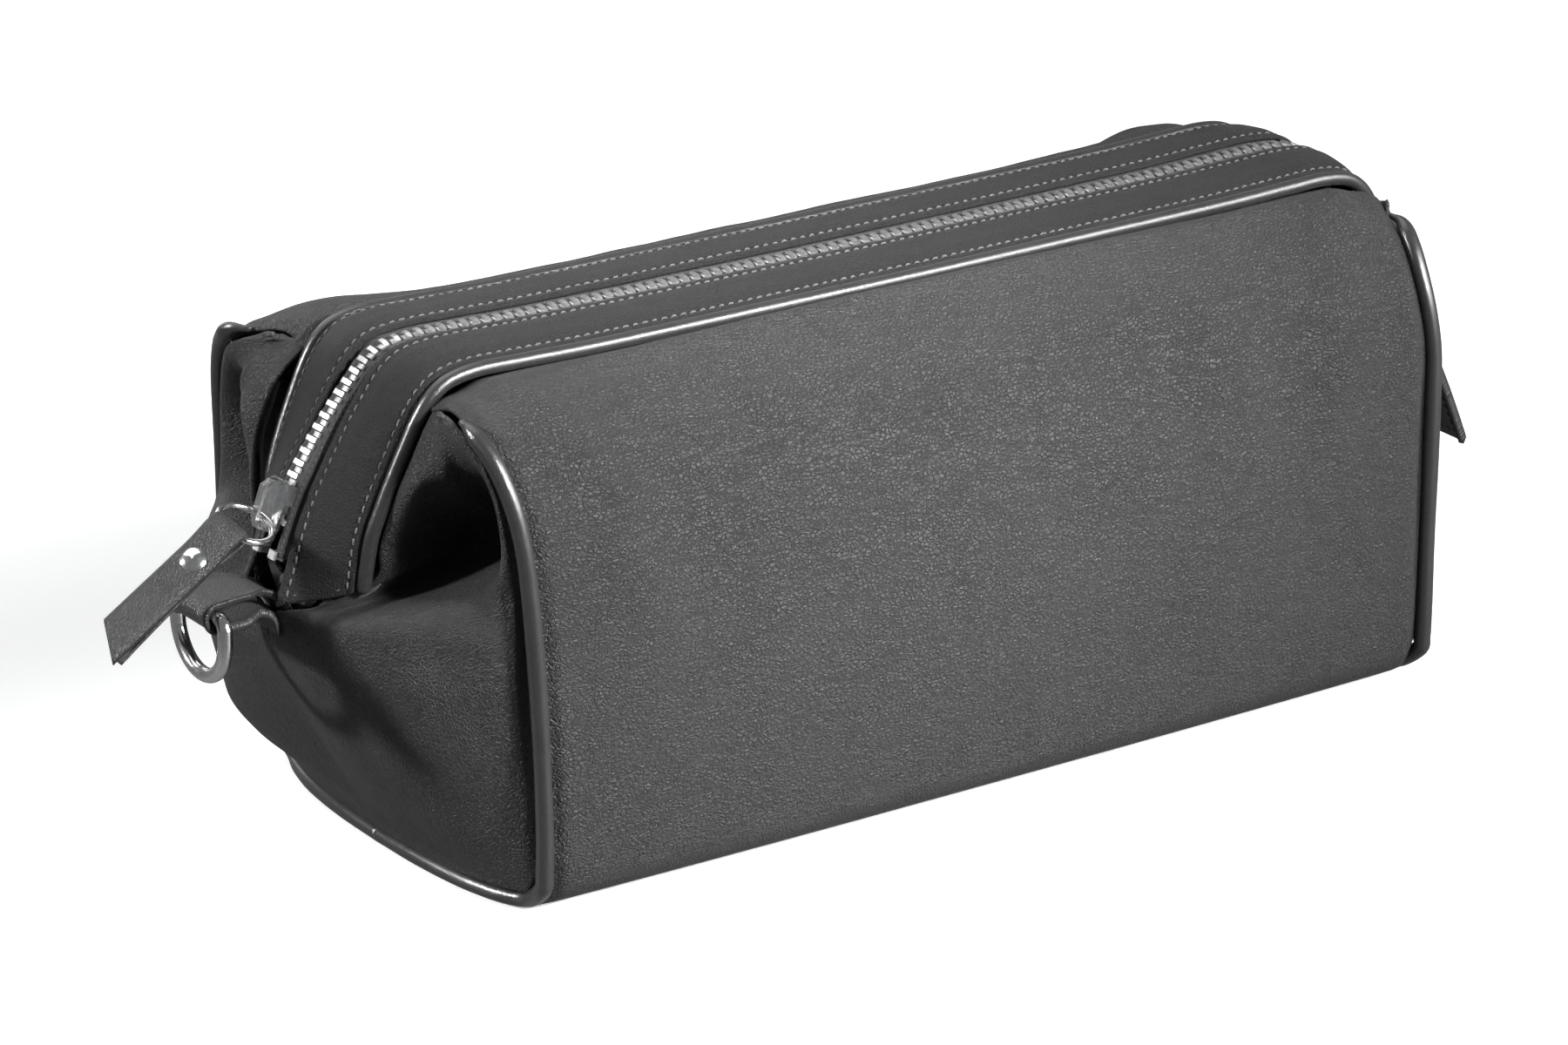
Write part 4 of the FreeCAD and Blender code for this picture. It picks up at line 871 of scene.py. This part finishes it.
uz = np.linspace(1.35, LAST - 1.35, 700)
cz = chain(uz)[0][:, 2]
left_leg = uz < LAST / 2
away = 2.0 * (1 - smooth(76.0, 81.5, cz)) * left_leg
level = 1.4 * (1 - smooth(84.0, 92.0, cz)) * left_leg
lip_y = -band(uz, 0.0, 1.72)[0][:, 1]
q0, q1 = chain(uz, -1.05 - away, 0.3)[0], chain(uz, -np.minimum(2.7 + level, lip_y - 1.0), 0.3)[0]
p1, p2, p3 = band(uz, -0.012, 1.42)[0], band(uz, 0.12, 1.54)[0], band(uz, 0.25, 1.54)[0]
tg = np.stack([q0, q0 * 0.5 + q1 * 0.5, q1 * 0.9 + q0 * 0.1, q1 * 0.9 + p1 * 0.1, q1 * 0.5 + p1 * 0.5, p1 * 0.9 + q1 * 0.1, p1 * 0.9 + p2 * 0.1, p2, p3], 1)
tn = normals(tg, (0, 0, 60))
mirror_sheet("%s_tape_cloth", tg, tn, 0.6, TAPE, "tape", "%s_zipper_tape", None)
# the row of stitches beside the cord that the teeth bite on
for side, sy in (("front", 1), ("rear", -1)):
    c = q1 * 0.82 + p1 * 0.18
    nn = chain(uz, 0, 0)[1]
    ob = stitch_row("%s_tape_stitches" % side, c * V3((1, sy, 1)), nn * V3((1, sy, 1)), 1.35, None, mat=THREAD_Z, length=0.6, r=0.17, lift=0.02, lean=0.05)
    keep(ob, side + "_frame", None)

# --------------------------------------------------------------- puller strap
W = V3((0.2998487644378933, -0.8465730115963189, -0.4397781878422436))
L = V3((-0.8526386, -0.0310500, -0.5215713))
L = unit(L - W * (L @ W))
Nn = np.cross(L, W)
Lp = V3((-156.6976393928802, -4.256421995975366, 78.4938520186899))
R_IN, T1, SW = 0.75 + 0.35, 1.15, 4.1
mid_r = R_IN + T1 / 2
lowp = [(34.0, -3.0), (30.0, -2.4), (26.0, -1.95), (20.0, -1.35), (14.0, -0.85), (10.0, -0.66), (7.6, -0.66), (4.6, -1.1), (1.9, -1.66)]
foldp = [(mid_r * math.cos(a), mid_r * math.sin(a)) for a in [math.pi * (1.5 - i / 10.0) for i in range(0, 11)]]
highp = [(1.9, 1.66), (4.6, 1.1), (7.6, 0.66), (10.0, 0.66), (14.0, 0.66), (20.0, 0.68), (26.0, 0.7), (32.0, 0.71), (37.5, 0.72)]
path = resample([(x, 0.0, z) for x, z in lowp + foldp + highp], 260)


def strap(name, path, half_w, t, mat, frame3=None, cut=None, ncol=15, pillow=0.0):
    """A leather strap along path (x, z), across y; frame3 puts it in place; cut(y) gives the slanted end in x."""
    ys = np.linspace(-1, 1, ncol)
    s = arclen(path)
    rows = len(path)
    G = np.zeros((rows, ncol, 3))
    Nv = np.zeros((rows, ncol, 3))
    tan = unit(np.gradient(path, axis=0))
    nor = np.stack([-tan[:, 2], 0 * tan[:, 0], tan[:, 0]], 1)
    for j, yy in enumerate(ys):
        s0, s1 = 0.0, s[-1]
        if cut is not None:
            hw = half_w(s[-1])
            xc = cut(yy * hw)
            m = rows // 2
            s0 = np.interp(-xc, -path[:m // 1, 0], s[:m]) if xc < path[0, 0] else 0.0
            s1 = np.interp(xc, path[m:, 0], s[m:])
        st = np.linspace(s0, s1, rows)
        for k in range(3):
            G[:, j, k] = np.interp(st, s, path[:, k])
            Nv[:, j, k] = np.interp(st, s, nor[:, k])
        hw = np.array([half_w(x) for x in st])
        G[:, j, 1] = yy * hw
    Nv = unit(Nv)
    edge = 1 - np.abs(ys)
    G = G + Nv * (t / 2 - 0.35 * t * np.exp(-(edge / 0.09) ** 2)[None] + pillow * np.sqrt(np.clip(1 - ys ** 2, 0, 1))[None])[..., None]
    uv = surf_uv(G)
    if frame3 is not None:
        o, ex, ey, ez = frame3
        G = o + G[..., :1] * ex + G[..., 1:2] * ey + G[..., 2:3] * ez
        Nv = Nv[..., :1] * ex + Nv[..., 1:2] * ey + Nv[..., 2:3] * ez
    return sheet(name, G, Nv, t * 0.96, mat, edge=0.3, uv=uv), G, Nv


ob, pg, pnn = strap("puller_strap_leather", path, lambda s: SW, T1, STRAPM, (Lp, L, W, Nn), cut=lambda y: 33.0 + y * 8.0 / 12.0)
keep(ob, "puller", "leather", "puller_strap")

# ------------------------------------------------------------- D-ring strap
DX, DZ = -161.0, 61.5
r_mid = 1.68 + 0.7
dpath = [(-142.9, 54.6), (-143.6, 58.4), (-145.9, 61.6), (-149.7, 63.5), (-155.0, 64.2), (DX + 1.2, DZ + r_mid + 0.03)]
dpath += [(DX + r_mid * math.cos(a), DZ + r_mid * math.sin(a)) for a in [math.pi * (0.5 + i / 10.0) for i in range(0, 11)]]
dpath += [(DX + 1.4, DZ - r_mid + 0.02), (-155.5, 59.1), (-151.0, 59.6), (-147.9, 58.9), (-146.0, 56.8), (-145.2, 53.8)]
dp = resample([(x, 0.0, z) for x, z in dpath], 220)
sd = arclen(dp)
dxs = dp[:, 0]
ob, dg, dnn = strap("d_ring_strap_leather", dp, lambda s: 4.7 + 2.5 * float(smooth(-149.0, -154.5, np.interp(s, sd, dxs))), 1.4, STRAPM)
keep(ob, "bag", "leather", "d_ring_strap")

# --------------------------------------------------------------- end tab
tp = resample([(146.2, 0, 62.0), (149.5, 0, 60.2), (152.6, 0, 56.6), (155.6, 0, 51.0), (158.6, 0, 44.5), (161.4, 0, 38.0), (163.6, 0, 32.6)], 90)
st = arclen(tp)
thw = lambda s: 5.4 + 3.0 * float(smooth(0.1 * st[-1], 0.4 * st[-1], s))
ob, eg, enn = strap("zipper_end_tab_leather", tp, thw, 2.5, STRAPM)
keep(ob, "bag", "leather", "zipper_end_tab")
ring = [(eg[i, 1] * 0.88 + eg[i, 7] * 0.12, enn[i, 1]) for i in range(18, 84)]
ring += [(eg[84, j] , enn[84, j]) for j in range(2, 13)]
ring += [(eg[i, 13] * 0.88 + eg[i, 7] * 0.12, enn[i, 13]) for i in range(84, 17, -1)]
RP, RN = np.array([a for a, _ in ring]), np.array([b for _, b in ring])
keep(stitch_row("end_tab_stitches", RP + RN * 0.05, RN, 2.2, None), "bag", None)
keep(stitch_row("end_tab_stitches_back", RP - RN * 2.45, -RN, 2.2, None), "bag", None)

# hinge tabs: small leather tongues that tie each rivet to the end
for end, sx in (("left", 1), ("right", -1)):
    zz, yy = np.linspace(44.0, 62.6, 25), np.linspace(-3.4, 3.4, 13)
    G = np.zeros((25, 13, 3))
    G[..., 0] = -138.4
    G[..., 2] = zz[:, None]
    G[..., 1] = yy[None] * (1 - 0.35 * smooth(60.5, 62.8, zz)[:, None])
    Nt = np.zeros_like(G)
    Nt[..., 0] = -1
    keep(sheet("%s_hinge_tab_leather" % end, G * V3((sx, 1, 1)), Nt * V3((sx, 1, 1)), 1.0, FLESH), "bag", "leather", "%s_hinge_tab" % end)

# ---------------------------------------------------------------- linings
lg, lxs, lks = panel_shape(121, 81, 2.6, PN - 0.5, 4.0)
ln = normals(lg, (0, 0, 55))
lk = lks[None]
fold = 0.8 * np.abs(nz(lg * V3((1, 1, 0.4)), 16.0, 2.0, 3)) * smooth(3.5, 6.0, lk) * (1 - smooth(12.5, 14.4, lk))
lgo = lg - ln * (1.75 + fold)[..., None]
ln = normals(lgo, (0, 0, 55))
for side, sy in (("front", 1), ("rear", -1)):
    ob = sheet("%s_lining_cloth" % side, lgo * V3((1, sy, 1)), ln * V3((1, sy, 1)), 0.6, LININGM)
    keep(follow(ob), None, "lining", side + "_lining")

# --------------------------------------------------- materials of CAD nodes
CADM = {"base_board": BOARD, "front_frame_strip": STEEL, "rear_frame_strip": STEEL,
        "left_hinge_pin": NICKEL, "right_hinge_pin": NICKEL, "front_zipper_teeth": TEETHM, "rear_zipper_teeth": TEETHM,
        "front_top_stop": TEETHM, "rear_top_stop": TEETHM, "bottom_stop": TEETHM, "slider_body": NICKEL, "slider_bail": NICKEL,
        "pull_ring": NICKEL, "puller_rivet": NICKEL, "d_ring": NICKEL}


def node_object(name):
    o = bpy.data.objects.get(name)
    if o is None:
        for x in bpy.data.objects:
            if x.name == name or x.get("node") == name or x.name.split(".")[0] == name:
                return x
    return o


for nm, mat in CADM.items():
    o = node_object(nm)
    if o is None:
        print("missing CAD node", nm)
        continue
    if not o.material_slots:
        o.data.materials.append(mat)
    for s_ in o.material_slots:
        s_.material = mat

# ------------------------------------------------------------ floor, light
me = bpy.data.meshes.new("floor")
S_ = 6.0
me.from_pydata([(-S_, -S_, -0.0002), (S_, -S_, -0.0002), (S_, S_, -0.0002), (-S_, S_, -0.0002)], [], [(0, 1, 2, 3)])
floor = bpy.data.objects.new("floor", me)
bpy.context.scene.collection.objects.link(floor)
fm = NT("floor_white")
fm.set(Base_Color=(0.93, 0.93, 0.93, 1), Roughness=0.6, Emission_Color=(1, 1, 1, 1))
ray = fm.n("ShaderNodeLightPath")
fm.link(fm.math("ADD", fm.math("MULTIPLY", ray.outputs["Is Camera Ray"], 0.31), 0.06), fm.b.inputs["Emission Strength"])
# the table is white to the eye, but throws little light back up under the bag
fm.link(fm.ramp(ray.outputs["Is Camera Ray"], [(0.0, (0.10, 0.10, 0.10)), (1.0, (0.93, 0.93, 0.93))]), fm.b.inputs["Base Color"])
fm.b.inputs["Specular IOR Level"].default_value = 0.2
me.materials.append(fm.m)

bpy.context.scene.view_settings.view_transform = "Standard"
world = bpy.data.worlds.new("world")
bpy.context.scene.world = world
world.use_nodes = True
wt = world.node_tree
wt.nodes.clear()
wo = wt.nodes.new("ShaderNodeOutputWorld")
lp = wt.nodes.new("ShaderNodeLightPath")
mixw = wt.nodes.new("ShaderNodeMixShader")
dim, bright = wt.nodes.new("ShaderNodeBackground"), wt.nodes.new("ShaderNodeBackground")
dim.inputs[0].default_value = (0.96, 0.98, 1.0, 1)
dim.inputs[1].default_value = 0.17
bright.inputs[0].default_value = (1, 1, 1, 1)
bright.inputs[1].default_value = 1.0
wt.links.new(lp.outputs["Is Camera Ray"], mixw.inputs[0])
wt.links.new(dim.outputs[0], mixw.inputs[1])
wt.links.new(bright.outputs[0], mixw.inputs[2])
wt.links.new(mixw.outputs[0], wo.inputs[0])


def area(name, loc, target, size, power, sy=None, spread=None):
    l = bpy.data.lights.new(name, "AREA")
    l.energy = power
    l.shape = "RECTANGLE"
    l.size = size
    l.size_y = sy or size
    o = bpy.data.objects.new(name, l)
    o.location = loc
    o.rotation_euler = (Vector(target) - Vector(loc)).to_track_quat("-Z", "Y").to_euler()
    bpy.context.scene.collection.objects.link(o)
    return o


def spot(name, loc, target, power, angle, radius, wide=1.0):
    l = bpy.data.lights.new(name, "SPOT")
    l.energy = power
    l.spot_size = math.radians(angle)
    l.spot_blend = 1.0
    l.shadow_soft_size = radius
    o = bpy.data.objects.new(name, l)
    o.location = loc
    o.rotation_euler = (Vector(target) - Vector(loc)).to_track_quat("-Z", "Y").to_euler()
    o.scale = (wide, 1, 1)
    bpy.context.scene.collection.objects.link(o)
    return o


az, el = math.radians(-34.5), math.radians(21.0)
back = V3((math.sin(az) * math.cos(el), -math.cos(az) * math.cos(el), math.sin(el)))
right = V3((math.cos(az), math.sin(az), 0))
TGT = V3((-4.144, 21.066, 39.113)) * MM


def cam_pos(r, u, b):
    """right, up, towards the camera, in metres from the bag."""
    return tuple(TGT + right * r + V3((0, 0, 1)) * u + V3((back[0], back[1], 0)) / np.linalg.norm(back[:2]) * b)


area("key_soft", cam_pos(0.98, 0.46, 0.42), TGT, 1.0, 24.0, 0.65)
spot("panel_glow", cam_pos(0.82, 0.62, 0.70), V3((-20.0, -50.0, 100.0)) * MM, 330.0, 9.0, 0.12, 2.0)
area("overhead", cam_pos(-0.45, 1.35, -0.45), TGT, 1.3, 9.5, 1.3)
area("left_back_strip", cam_pos(-0.75, 0.25, -1.1), TGT, 0.5, 2.6, 0.7)
spot("end_glow", cam_pos(-1.0, 0.50, 0.22), V3((-136.0, 8.0, 92.0)) * MM, 380.0, 7.5, 0.12)

cam = bpy.data.cameras.new("camera")
cam.lens = 153.27
cam.sensor_width = 36.0
co = bpy.data.objects.new("camera", cam)
co.location = tuple(TGT + back * 1.45)
co.rotation_euler = Vector(-back).to_track_quat("-Z", "Y").to_euler()
bpy.context.scene.collection.objects.link(co)
bpy.context.scene.camera = co
